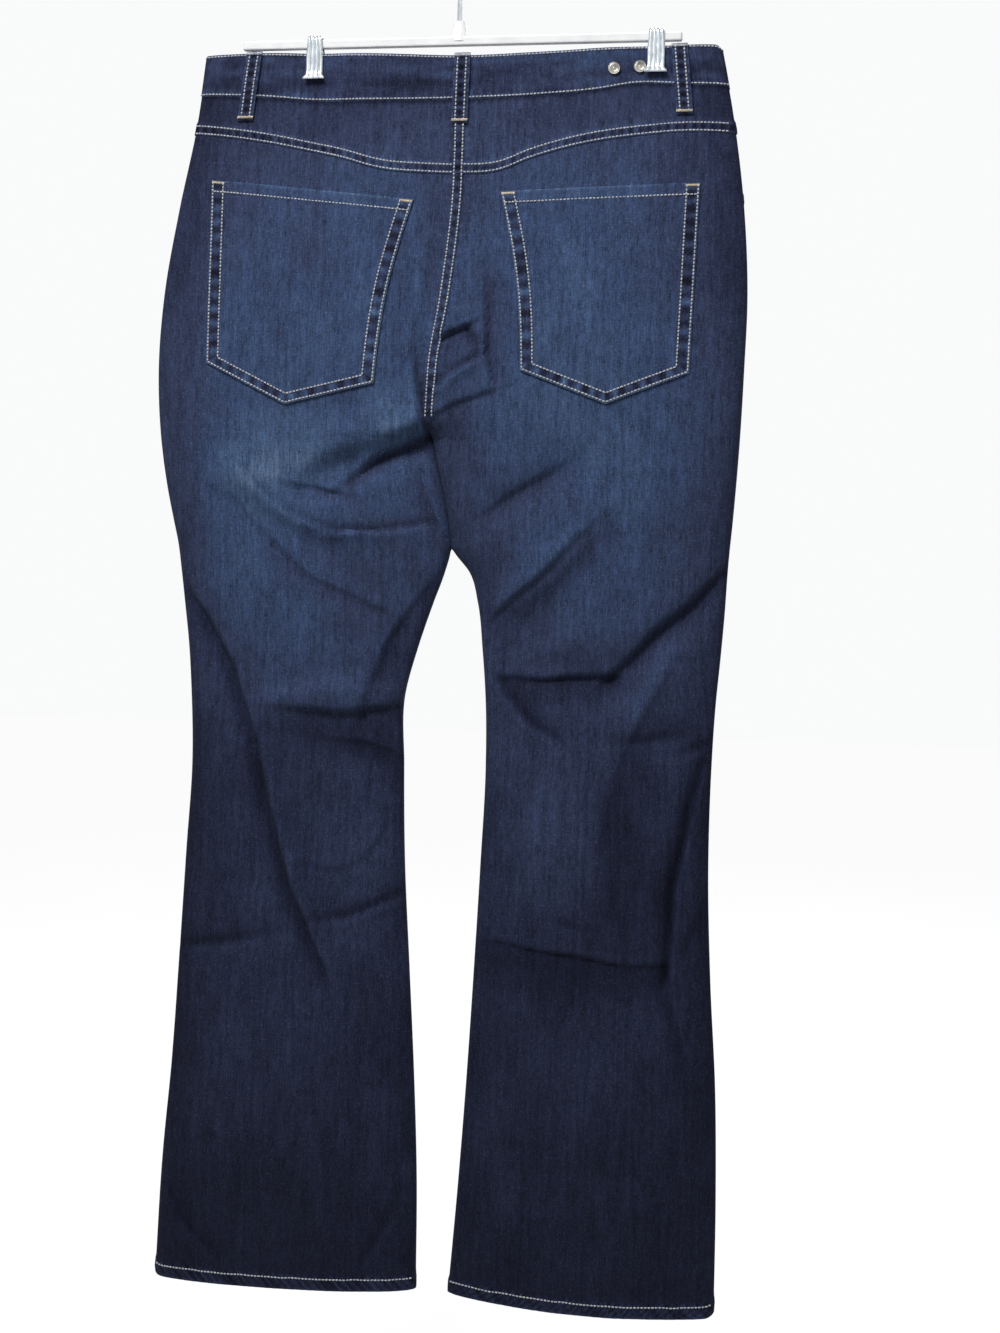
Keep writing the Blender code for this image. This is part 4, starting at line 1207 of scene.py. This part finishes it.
def add_leg_back(leg):
    x, drop = patch(BACK_GRID, leg, -1, lambda x: across(YOKE_SEAM, x) - LAP_UNDER, hem_edge(leg))
    x, lift = lap_centre(x, drop, seam_relief(x, drop, leg, -1)[0], leg, -1)
    outer = place_panel(x, drop, leg, -1, lift)
    inner = place_panel(x, drop, leg, -1, np.minimum(lift, np.maximum(lift - CLOTH, -CLOTH)))
    add_cloth("leg_back_" + LEG_NAME[leg], "denim_seat", outer, inner, panel_wash_and_shade(x, drop, leg, -1))


def add_yoke(leg):
    x, drop = patch(YOKE_GRID, leg, -1, lambda x: tucked(x, -1), lambda x: across(YOKE_SEAM, x) + LAP_OVER)
    lift = lap_step(drop - across(YOKE_SEAM, x)) + seam_relief(x, drop, leg, -1)[0]
    x, lift = lap_centre(x, drop, lift, leg, -1)
    outer = place_either(x, drop, -1, lift)
    inner = place_either(x, drop, -1, lift - YOKE_CLOTH)
    add_cloth("yoke_" + LEG_NAME[leg], "denim_dark", outer, inner, panel_wash_and_shade(x, drop, leg, -1) - YOKE_SHADE)


def add_leg_front(leg):
    x, drop = patch(
        FRONT_GRID, leg, 1, lambda x: tucked(x, 1) + scoop_edge(x, leg), hem_edge(leg), FRONT_FADE
    )
    mouth = scoop_distance(x, drop, leg)
    lift = seam_relief(x, drop, leg, 1)[0] + 0.5 * ease((11 - mouth) / 3) - 0.4 * ease((1.2 - mouth) / 1.2)
    x, lift = lap_centre(x, drop, lift, leg, 1)
    wash_and_shade = panel_wash_and_shade(x, drop, leg, 1) + 0.16 * ease((1.6 - mouth) / 1.6)
    wash_and_shade = wash_and_shade + 0.12 * pucker(x + drop, 41) * ease((9 - mouth) / 2)
    outer = place_panel(x, drop, leg, 1, lift)
    inner = place_panel(x, drop, leg, 1, lift - CLOTH)
    add_cloth("leg_front_" + LEG_NAME[leg], "denim_dark", outer, inner, wash_and_shade)


def add_facing(leg):
    grid = (FACING_ROWS, FRONT_GRID[1])
    x, drop = patch(
        grid, leg, 1, lambda x: tucked(x, 1), lambda x: tucked(x, 1) + scoop_edge(x, leg) + FACING_UNDER
    )
    x, drop = x[:, :FACING_SHARE], drop[:, :FACING_SHARE]
    outer = place(x, drop, leg, 1, -FACING_SUNK)
    inner = place(x, drop, leg, 1, -FACING_SUNK - FACING_THICK)
    wash_and_shade = panel_wash_and_shade(x, drop, leg, 1) - FACING_SHADE
    add_cloth("pocket_facing_" + LEG_NAME[leg], "denim_dark", outer, inner, wash_and_shade)


def add_fly():
    """The strip behind the closed fly."""
    rows, columns = FLY_GRID
    x = np.linspace(*FLY_X, columns) * np.ones((rows, 1))
    top = band_low(x, 1) + SEAM_GAP
    drop = top + (FLY_LOW - top) * np.linspace(0, 1, rows)[:, None]
    outer = place_either(x, drop, 1, -CLOTH - FLY_SUNK)
    add_cloth("fly_shield", "denim_dark", outer, outer - np.array([0, CLOTH, 0]), FLY_WASH)


def band_point(turn, down, lift):
    """(points, x) on the waistband, at a turn round it and a share of its height."""
    s = np.sin(turn)
    front = np.cos(turn) > 0
    drop = BAND_HEIGHT * down + 0 * turn
    for _ in range(SETTLE_STEPS):
        half = np.where(s < 0, CENTRE_X - outline("left_out", drop), outline("right_out", drop) - CENTRE_X)
        x = CENTRE_X + s * half
        top = np.where(front, band_top(x, 1), band_top(x, -1))
        low = np.where(front, band_low(x, 1), band_low(x, -1))
        drop = top + (low - top) * down
    depth = np.where(front, *[column(DEPTH, DEPTH_COLUMNS, name, drop) for name in ("front", "back")])
    depth = depth * profile(s) * pinch(x, drop, depth) - LAP_STEP * ease((LAP_TURN - turn) / LAP_EASE)
    y = np.where(front, 1, -1) * (depth + lift * profile(s))
    return np.stack([x + lift * turn_aside(s), y, BAND_TOP - drop], axis=-1), x


def add_waistband():
    rows, columns = BAND_GRID
    lap = math.asin(LAP_HALF / (BAND_HALF - CENTRE_X))
    turn = np.linspace(-lap, 2 * math.pi + lap, columns) * np.ones((rows, 1))
    even = np.linspace(0, 1, rows)[:, None]
    down = (ease(even) * 0.35 + even * 0.65) * np.ones(columns)
    high = down * BAND_HEIGHT
    up = BAND_HEIGHT - high
    along = turn * BAND_HALF
    rim = 0.7 * (bell(high, 1.1) + bell(up, 1.1))
    ripple = pucker(along, 51) * bell(up, 7.0) + 0.5 * pucker(along, 52) * bell(high, 5)
    lift = BAND_PROUD - rim + 0.22 * ripple + 0.3 * lattice(along / 40, high / 22, 53)
    outer, x = band_point(turn, down, lift)
    inner, _ = band_point(turn, down, BAND_PROUD - BAND_THICK + rim)
    wash_and_shade = np.where(x < CENTRE_X, BAND_WASH[-1], BAND_WASH[1]) + blotches(along, high, BAND_BLOTCHES)
    wash_and_shade = wash_and_shade + 0.26 * pucker(along, 55) * bell(np.maximum(up - 3, 0), 7.0)
    wash_and_shade = wash_and_shade + 0.16 * bell(up - 2.0, 1.6) - 0.10 * bell(up - 13, 7) + 0.16 * bell(high, 1.4)
    wash_and_shade = wash_and_shade - 0.16 * ease((np.abs(x) - 190) / 40)
    add_cloth("waistband", "denim_band", outer, inner, wash_and_shade, (along, high))
    line = np.linspace(-lap + 0.01, 2 * math.pi + lap - 0.01, 1600)
    for share in (BAND_ROWS[0] / BAND_HEIGHT, 1 - BAND_ROWS[1] / BAND_HEIGHT):
        row, _ = band_point(line, share + 0 * line, BAND_PROUD + 0.05 + 0 * line)
        for face in (-1, 1):
            spots = np.flatnonzero((np.cos(line) >= 0) == (face == 1))
            for run in np.split(spots, np.flatnonzero(np.diff(spots) > 1) + 1):
                stitch("topstitching_" + FACE_NAME[face], row[run], face)


def inset(corner, side, low, top):
    """The pocket's corners moved inwards from its sides, its two lower edges and its top."""
    names = ("top_out", "low_out", "point", "low_in", "top_in")
    middle = sum(corner.values()) / len(corner)
    lines = []
    for name, following, by in zip(names, names[1:] + names[:1], (side, low, low, side, top)):
        run = (corner[following] - corner[name]) / np.linalg.norm(corner[following] - corner[name])
        normal = np.array([-run[1], run[0]])
        normal = normal * np.sign(np.dot(middle - corner[name], normal))
        lines.append((corner[name] + normal * by, run))
    found = {}
    for i, name in enumerate(names):
        (a, r), (b, q) = lines[i - 1], lines[i]
        found[name] = a + r * np.linalg.solve(np.array([r, -q]).T, b - a)[0]
    return found


def pocket_grid(corner, leg, u, down):
    """x and drop inside a pocket, from its outer side to its inner one and from its top down."""
    top = corner["top_out"] + (corner["top_in"] - corner["top_out"]) * u[..., None]
    half = np.clip(u * 2, 0, 1)[..., None]
    rest = np.clip(u * 2 - 1, 0, 1)[..., None]
    low = corner["low_out"] + (corner["point"] - corner["low_out"]) * half
    low = low + (corner["low_in"] - corner["point"]) * rest
    bowed = POCKET_BOW * np.sin(math.pi * down) * leg * rest[..., 0]
    x = top[..., 0] + (low[..., 0] - top[..., 0]) * down + bowed
    return x, top[..., 1] + (low[..., 1] - top[..., 1]) * down


def line_distance(x, drop, line):
    """(distance, along): how far each place is from a line of points, and where along it."""
    gap = np.full(x.shape, math.inf)
    along = np.zeros(x.shape)
    for point, reach in zip(line, path_reach(line)):
        d = np.hypot(x - point[0], drop - point[1])
        along = np.where(d < gap, reach, along)
        gap = np.minimum(gap, d)
    return gap, along


def add_pocket(leg):
    spots = rows_of(POCKETS, POCKET_COLUMNS, leg=leg)
    corner = {spot["corner"]: np.array([spot["x"], spot["drop"]], float) for spot in spots}
    rows, columns = POCKET_GRID
    u = np.linspace(0, 1, columns) * np.ones((rows, 1))
    down = np.linspace(0, 1, rows)[:, None] * np.ones(columns)
    x, drop = pocket_grid(corner, leg, u, down)
    t = np.linspace(0, 1, 90)
    zero, one = 0 * t, 0 * t + 1
    (out, out_at), (inn, inn_at), (low, low_at), (top, _) = [
        line_distance(x, drop, np.stack(pocket_grid(corner, leg, *ends), axis=-1))
        for ends in ((zero, t), (one, t), (t, one), (t, zero))
    ]
    side = np.minimum(out, inn)
    edge = np.minimum(side, low)
    crown = POCKET_CROWN * ease(edge / 60) * ease(top / 10)
    turned = np.maximum(ease((POCKET_SIDE_ROW + 0.6 - side) / 1.2), ease((POCKET_LOW_ROW + 0.6 - low) / 1.2))
    hem = ease((POCKET_HEM_ROW + 0.8 - top) / 1.2)
    on_out, on_inn, on_low = [
        pucker(at * POCKET_PITCH, seed + leg) for at, seed in ((out_at, 61), (inn_at, 63), (low_at, 65))
    ]
    bumps = np.where(low < side, on_low, np.where(out < inn, on_out, on_inn))
    lift = POCKET_LIFT + POCKET_THICK + crown + 0.28 * bumps * turned * ease(edge / 2)
    lift = lift + 0.25 * np.maximum(turned, hem) - 0.5 * ease((0.9 - np.minimum(edge, top)) / 0.9)
    between = turned * ease((edge - 1.6) / 1.2)
    wash_and_shade = panel_wash_and_shade(x, drop, leg, -1) + 0.02 - 0.24 * between * ease(top / 9)
    wash_and_shade = wash_and_shade + 0.58 * bumps * between * ease(top / 8) + 0.08 * hem
    wash_and_shade = wash_and_shade + 0.30 * bell(top, 1.5) + 0.42 * bell(edge, 1.2)
    inner = place(x, drop, leg, -1, POCKET_LIFT + 0.4 * crown)
    add_cloth("pocket_back_" + LEG_NAME[leg], "denim_seat", place(x, drop, leg, -1, lift), inner, wash_and_shade)

    def on_face(line):
        return place(line[:, 0], line[:, 1], leg, -1, POCKET_LIFT + POCKET_THICK + 0.45)

    def sew(c, first, last, bow=0.0):
        t = np.linspace(0, 1, 160)[:, None]
        line = c[first] + (c[last] - c[first]) * t
        line[:, 0] += bow * np.sin(math.pi * t[:, 0]) * leg
        stitch("topstitching_back", on_face(line), -1)

    rim_row = inset(corner, POCKET_ROW, POCKET_ROW, POCKET_TOP_ROW)
    inner_row = inset(corner, POCKET_SIDE_ROW, POCKET_LOW_ROW, POCKET_TOP_ROW)
    for c in (rim_row, inner_row):
        sew(c, "top_out", "low_out")
        sew(c, "low_out", "point")
        sew(c, "point", "low_in")
        sew(c, "top_in", "low_in", POCKET_BOW)
    sew(inset(corner, 1.8, POCKET_ROW, POCKET_HEM_ROW), "top_out", "top_in")
    for end in ("top_out", "top_in"):
        ends = on_face(np.stack([rim_row[end], inner_row[end]]))
        run = ends[1] - ends[0]
        middle = ends.mean(axis=0) + np.array([0, -0.1, -0.8])
        bar_tack("bar_tacks", middle, run, (0, -1, 0), np.linalg.norm(run) + 1.4)


def add_belt_loop(loop):
    rows, columns = LOOP_GRID
    face = loop["face"]
    long = loop["drop_low"] - loop["drop_top"]

    def at(down, wide, lift):
        x = loop["x_top"] + (loop["x_low"] - loop["x_top"]) * down + wide
        drop = loop["drop_top"] + long * down + (front_dip(x) if face == 1 else 0) + 0 * x
        base = place_either(x, np.maximum(drop, 0), face)
        base[..., 1] += face * (across(LOOP_LIFT, down) + lift + 0 * x)
        base[..., 2] = BAND_TOP - drop
        return base

    down = np.linspace(0, 1, rows)[:, None] * np.ones(columns)
    half = LOOP_WIDTH / 2
    quarter = math.pi / 2 * LOOP_SPREAD
    wide = half * np.sin(np.linspace(-1, 1, columns) * quarter) / math.sin(quarter) * np.ones((rows, 1))
    bumps = pucker(down * long, 71 + int(loop["x_top"]) % 7)
    edge = half - np.abs(wide)
    rounded = 0.45 * bell(edge, 1.2) + 0.5 * bell(np.minimum(down, 1 - down) * long, 1.2)
    groove = 0.18 * bell(np.abs(wide) - LOOP_ROW, 0.9)
    outer = at(down, wide, LOOP_THICK - rounded - groove + 0.12 * bumps)
    wash_and_shade = LOOP_WASH + 0.42 * bumps * bell(wide, 3.0) - 0.30 * bell(wide, 2.6, 4)
    wash_and_shade = wash_and_shade + 0.26 * bell(edge, 1.2) + 0.16 * pucker(down * long, 75)
    add_cloth(loop["name"], "denim_band", outer, at(down, wide, 0.15), wash_and_shade, (wide, down * long))
    line = np.linspace(0.01, 0.975, 80)
    group = "topstitching_" + FACE_NAME[face]
    for side in (-1, 1):
        stitch(group, at(line, side * LOOP_ROW + 0 * line, LOOP_THICK - 0.1), face)
    for spot, kind in ((0.03, group), (0.955, "bar_tacks")):
        centre = at(np.array([spot]), np.array([0.0]), LOOP_THICK - 0.05)[0]
        bar_tack(kind, centre, (-face, 0, 0), (0, face, 0), LOOP_WIDTH - 0.6, 2.2)


def add_button(button):
    """A tack button: a domed disc with a rolled rim, a ring and a small centre on its face."""
    leg = -1 if button["x"] < CENTRE_X else 1
    radius, thick, face = button["radius"], button["thick"], button["face"]
    reach = button["x"] + np.array([-radius, 0.0, radius])
    left, seat, right = place(reach, button["drop"] + 0 * reach, leg, face, BAND_PROUD)
    along = (right - left) / np.linalg.norm(right - left)
    outward = face * np.array([-along[1], along[0], 0.0])
    away = max(0.0, float(np.dot((left + right) / 2 - seat, outward))) + BUTTON_GAP
    angles = 2 * math.pi * np.arange(BUTTON_SIDES) / BUTTON_SIDES
    ring = np.outer(np.cos(angles), along) + np.outer(np.sin(angles), (0, 0, 1))
    rings = [
        seat + radius * share * ring + (high * thick + away) * outward for share, high in BUTTON_RIM[1:]
    ]
    points = np.concatenate([[seat + (BUTTON_RIM[0][1] * thick + away) * outward], *rings])
    k = np.arange(BUTTON_SIDES)
    faces = np.stack([0 * k, 1 + k, 1 + (k + 1) % BUTTON_SIDES], axis=1).tolist()
    faces += (1 + ring_quads(len(BUTTON_RIM) - 1, BUTTON_SIDES)[:, [0, 3, 2, 1]]).tolist()
    faces.append((len(points) - BUTTON_SIDES + k).tolist())
    made = add_mesh(button["name"] + "_disc", points, faces, [pewter], 60)
    stand_for(made, "pewter", button["name"])


def clip_path():
    """(y, drop) up the clip's back leg, over the bar and down its front leg."""
    grip = PINCHED_DEPTH + BAND_PROUD + CLIP_GAP
    crown = BAR_DROP - BAR_TALL / 2
    leg = [(grip + out, CLIP_LOW + down) for out, down in CLIP_FOOT]
    leg += [(grip, drop) for drop in np.linspace(CLIP_LOW - 9, crown + 2, 4)]
    turns = np.radians(np.linspace(160, 20, 8))
    arch = [(grip * math.cos(a), crown + CROWN_GAP - CROWN_RISE * math.sin(a)) for a in turns]
    return np.array([(-y, drop) for y, drop in leg] + arch + leg[::-1])


def refine(path, times):
    """A smooth line with several times the points, through those of a path."""
    steps = path_reach(path)
    fine = np.interp(np.linspace(0, len(path) - 1, (len(path) - 1) * times + 1), np.arange(len(path)), steps)
    return np.stack([smooth_curve(steps, path[:, k], fine) for k in range(path.shape[1])], axis=-1)


def add_clip(side):
    """A ribbed spring clip bent from one strip, which straddles the bar and grips both layers."""
    path = refine(clip_path(), 4)
    tangent = np.gradient(path, axis=0)
    normal = np.stack([tangent[:, 1], -tangent[:, 0]], axis=1)
    normal /= np.linalg.norm(normal, axis=1)[:, None]
    wide = np.linspace(-0.5, 0.5, CLIP_RIBS * 12 + 1)
    rib = CLIP_RIB * np.abs(np.sin(math.pi * CLIP_RIBS * (wide + 0.5))) ** 0.8
    foot = bell(path[:, 1] - path[0, 1], CLIP_FLARE)[:, None]
    high = np.clip((path[0, 1] - path[:, 1]) / (path[0, 1] - path[:, 1].min()), 0, 1)[:, None]
    taper = 1 - CLIP_TAPER * ease((high - 0.45) / 0.55)
    span = (CLIP_WIDE + (CLIP_FOOT_WIDE - CLIP_WIDE) * foot) * taper

    def grid(lift):
        y = path[:, :1] + normal[:, :1] * lift
        drop = path[:, 1:] + normal[:, 1:] * lift
        return np.stack([CLIP_X[side] + span * wide, y, BAND_TOP - drop], axis=-1)

    name = "clip_" + side
    strip = (span * wide, path[:, 1:] + 0 * wide)
    made = shell(name + "_metal", grid(CLIP_METAL + (1 - foot) * rib), grid(0 * rib), strip, 0.5, [chrome])
    stand_for(made, "chrome", name)


def sew_centre(top, face, side):
    """A row of topstitching beside the centre seam, from a drop down to the crotch."""
    drop = np.linspace(top, CENTRE_END[face], CENTRE_STEPS[face])
    x = centre_seam(drop, face) + side * ROW_APART / 2
    lift = (LAP_RISE + 0.05) * fade_out(drop, LAP_FADE) + seam_relief(x, drop, -1, face)[0]
    if face == -1:
        lift = lift + LAP_RISE * bell(drop - YOKE_POINT, 5, 4)
    stitch("topstitching_" + FACE_NAME[face], place_either(x, drop, face, lift), face)


def sew_back():
    """Topstitching of the yoke and the centre seam."""
    for side in (-1, 1):
        x = np.linspace(-YOKE_REACH, YOKE_REACH, 1400)
        drop = across(YOKE_SEAM, x) + side * ROW_APART / 2
        lift = LAP_RISE + 0.05 + seam_relief(x, drop, -1, -1)[0]
        stitch("topstitching_back", place_either(x, drop, -1, lift), -1)
        sew_centre(45, -1, side)


def sew_hems():
    for leg in (-1, 1):
        for face in (-1, 1):
            outer, inner = edges(np.array(HEM[leg][0]), leg, face)
            x = np.linspace(outer - leg * 3.0, inner + leg * 3.0, 700)
            drop = hem_edge(leg)(x) - HEM_TURN + 1.0 + 0.5 * lattice(x / 9, 0.5, 28 + leg)
            lift = seam_relief(x, drop, leg, face)[0] + 0.05
            stitch("topstitching_" + FACE_NAME[face], place(x, drop, leg, face, lift), face)


def sew_front():
    """Topstitching of the front pocket mouths, the fly and the seam below it."""
    for by in SCOOP_ROWS:
        for leg in (-1, 1):
            turn = np.linspace(0.03, math.pi / 2 - 0.05, 300)
            x = leg * (SCOOP_CORNER - (SCOOP_WIDE + by) * np.cos(turn))
            drop = band_low(x, 1) + (SCOOP_DEEP + by) * np.sin(turn)
            keep = np.abs(x) < np.abs(edges(drop, leg, 1)[0]) - 2
            lift = 0.55 + seam_relief(x, drop, leg, 1)[0]
            stitch("topstitching_front", place(x[keep], drop[keep], leg, 1, lift[keep]), 1)
    for row in rows_of(FLY_ROWS, FLY_ROW_COLUMNS):
        share = np.linspace(0, 1, 300)
        turn = np.linspace(0, math.pi / 2, 160)[1:]
        radius = CENTRE_X - row["x"] - 2.0
        x = row["x"] + np.concatenate([0 * share, radius * (1 - np.cos(turn))])
        straight = FLY_ROW_TOP + (row["turn_drop"] - FLY_ROW_TOP) * share
        drop = np.concatenate([straight, row["turn_drop"] + FLY_BEND * radius * np.sin(turn)])
        lift = 0.1 + seam_relief(x, drop, -1, 1)[0]
        stitch("topstitching_front", place(x, drop, -1, 1, lift), 1)
    for side, top in ((-1, 190), (1, 50)):
        sew_centre(top, 1, side)
    centre = place_either(np.array([-6.0]), np.array([186.0]), 1, 1.0)[0]
    bar_tack("bar_tacks", centre, (-1, 0, 0.4), (0, 1, 0), 9.0)


threads = {}
denim_pair = [denim("denim_twill"), denim("denim_reverse", reverse=True)]
twisted = {"Specular_IOR_Level": 0.3, "Sheen_Weight": 0.15}
cream_thread, gold_thread = [finish(name, twisted) for name in ("cream_thread", "golden_thread")]
pewter, chrome = [finish(name, {"Metallic": 1.0}) for name in ("antique_pewter", "bright_plating")]
white = finish("white_moulding", {"Specular_IOR_Level": 0.45})

for leg in (-1, 1):
    for add in (add_leg_back, add_yoke, add_leg_front, add_facing, add_pocket):
        add(leg)
add_fly()
add_waistband()
for loop in rows_of(LOOPS, LOOP_COLUMNS):
    add_belt_loop(loop)
for button in rows_of(BUTTONS, BUTTON_COLUMNS):
    add_button(button)
for side in CLIP_X:
    add_clip(side)
sew_back()
sew_hems()
sew_front()
for group in threads:
    stand_for(stitch_mesh(group, gold_thread if group == "bar_tacks" else cream_thread), "denim_band")

for name, item in (("hanger_bar", white), ("hanger_hook", chrome)):
    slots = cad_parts[name].data.materials
    slots.clear()
    slots.append(item)

# Floor
corners = [(x * FLOOR_HALF, y * FLOOR_HALF, FLOOR_Z) for x, y in ((-1, -1), (1, -1), (1, 1), (-1, 1))]
floor_mesh = bpy.data.meshes.new("floor")
floor_mesh.from_pydata(corners, [], [(0, 1, 2, 3)])
floor = add_object("floor", floor_mesh)
ground = Graph("pale_floor")
mottle = ground.noise(ground.add("TexCoord").outputs["Object"], 3.0, 4.0)
tone = ground.ramp(mottle, ((0.3, (0.10, 0.10, 0.105)), (0.7, (0.12, 0.12, 0.12))))
ground.set(Base_Color=tone, Roughness=0.9, Emission_Color=(1.0, 1.0, 1.0, 1.0), Emission_Strength=0.90)
floor_mesh.materials.append(ground.material)
floor.visible_diffuse = False

# Studio: a white backdrop that lights the object less than it shows
world = bpy.data.worlds.new("studio")
bpy.context.scene.world = world
world.use_nodes = True
tree = world.node_tree
backdrop = tree.nodes["Background"]
ambient = tree.nodes.new("ShaderNodeBackground")
for node, colour, strength in ((backdrop, BACKDROP, 1.0), (ambient, (1, 1, 1, 1), AMBIENT)):
    node.inputs["Color"].default_value = colour
    node.inputs["Strength"].default_value = strength
ray = tree.nodes.new("ShaderNodeLightPath")
choice = tree.nodes.new("ShaderNodeMixShader")
towards = tree.nodes.new("ShaderNodeMath")
towards.operation = "MULTIPLY_ADD"
towards.use_clamp = True
towards.inputs[1].default_value = GLOSS_BACKDROP
for source, target in (
    (ray.outputs["Is Glossy Ray"], towards.inputs[0]),
    (ray.outputs["Is Camera Ray"], towards.inputs[2]),
    (towards.outputs[0], choice.inputs[0]),
    (ambient.outputs[0], choice.inputs[1]),
    (backdrop.outputs[0], choice.inputs[2]),
    (choice.outputs[0], tree.nodes["World Output"].inputs["Surface"]),
):
    tree.links.new(source, target)

for light in rows_of(LIGHTS, LIGHT_COLUMNS):
    lamp = bpy.data.lights.new(light["name"], "AREA")
    lamp.shape = "RECTANGLE"
    lamp.size, lamp.size_y, lamp.energy = light["wide"], light["tall"], light["watts"]
    made = add_object(light["name"], lamp)
    made.location = light["place"]
    made.rotation_euler = (Vector(light["aim"]) - Vector(light["place"])).to_track_quat("-Z", "Y").to_euler()

# Camera
back = np.array([
    math.sin(AZIMUTH) * math.cos(ELEVATION),
    -math.cos(AZIMUTH) * math.cos(ELEVATION),
    math.sin(ELEVATION),
])
right = np.cross(-back, (0, 0, 1))
right /= np.linalg.norm(right)
upward = np.cross(right, -back)
axis_x = math.cos(ROLL) * right + math.sin(ROLL) * upward
axis_y = math.cos(ROLL) * upward - math.sin(ROLL) * right
lens = bpy.data.cameras.new("camera")
lens.lens = LENS
lens.sensor_width = 36.0
lens.sensor_fit = "AUTO"
lens.clip_end = 60
camera = add_object("camera", lens)
pose = Matrix.Identity(4)
for i, axis in enumerate((axis_x, axis_y, back, TARGET + DISTANCE * back)):
    for k in range(3):
        pose[k][i] = float(axis[k])
camera.matrix_world = pose
bpy.context.scene.camera = camera
bpy.context.scene.view_settings.view_transform = "Standard"

for cut in rows_of(SHEETS, SHEET_COLUMNS):
    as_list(cut["rests_on"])
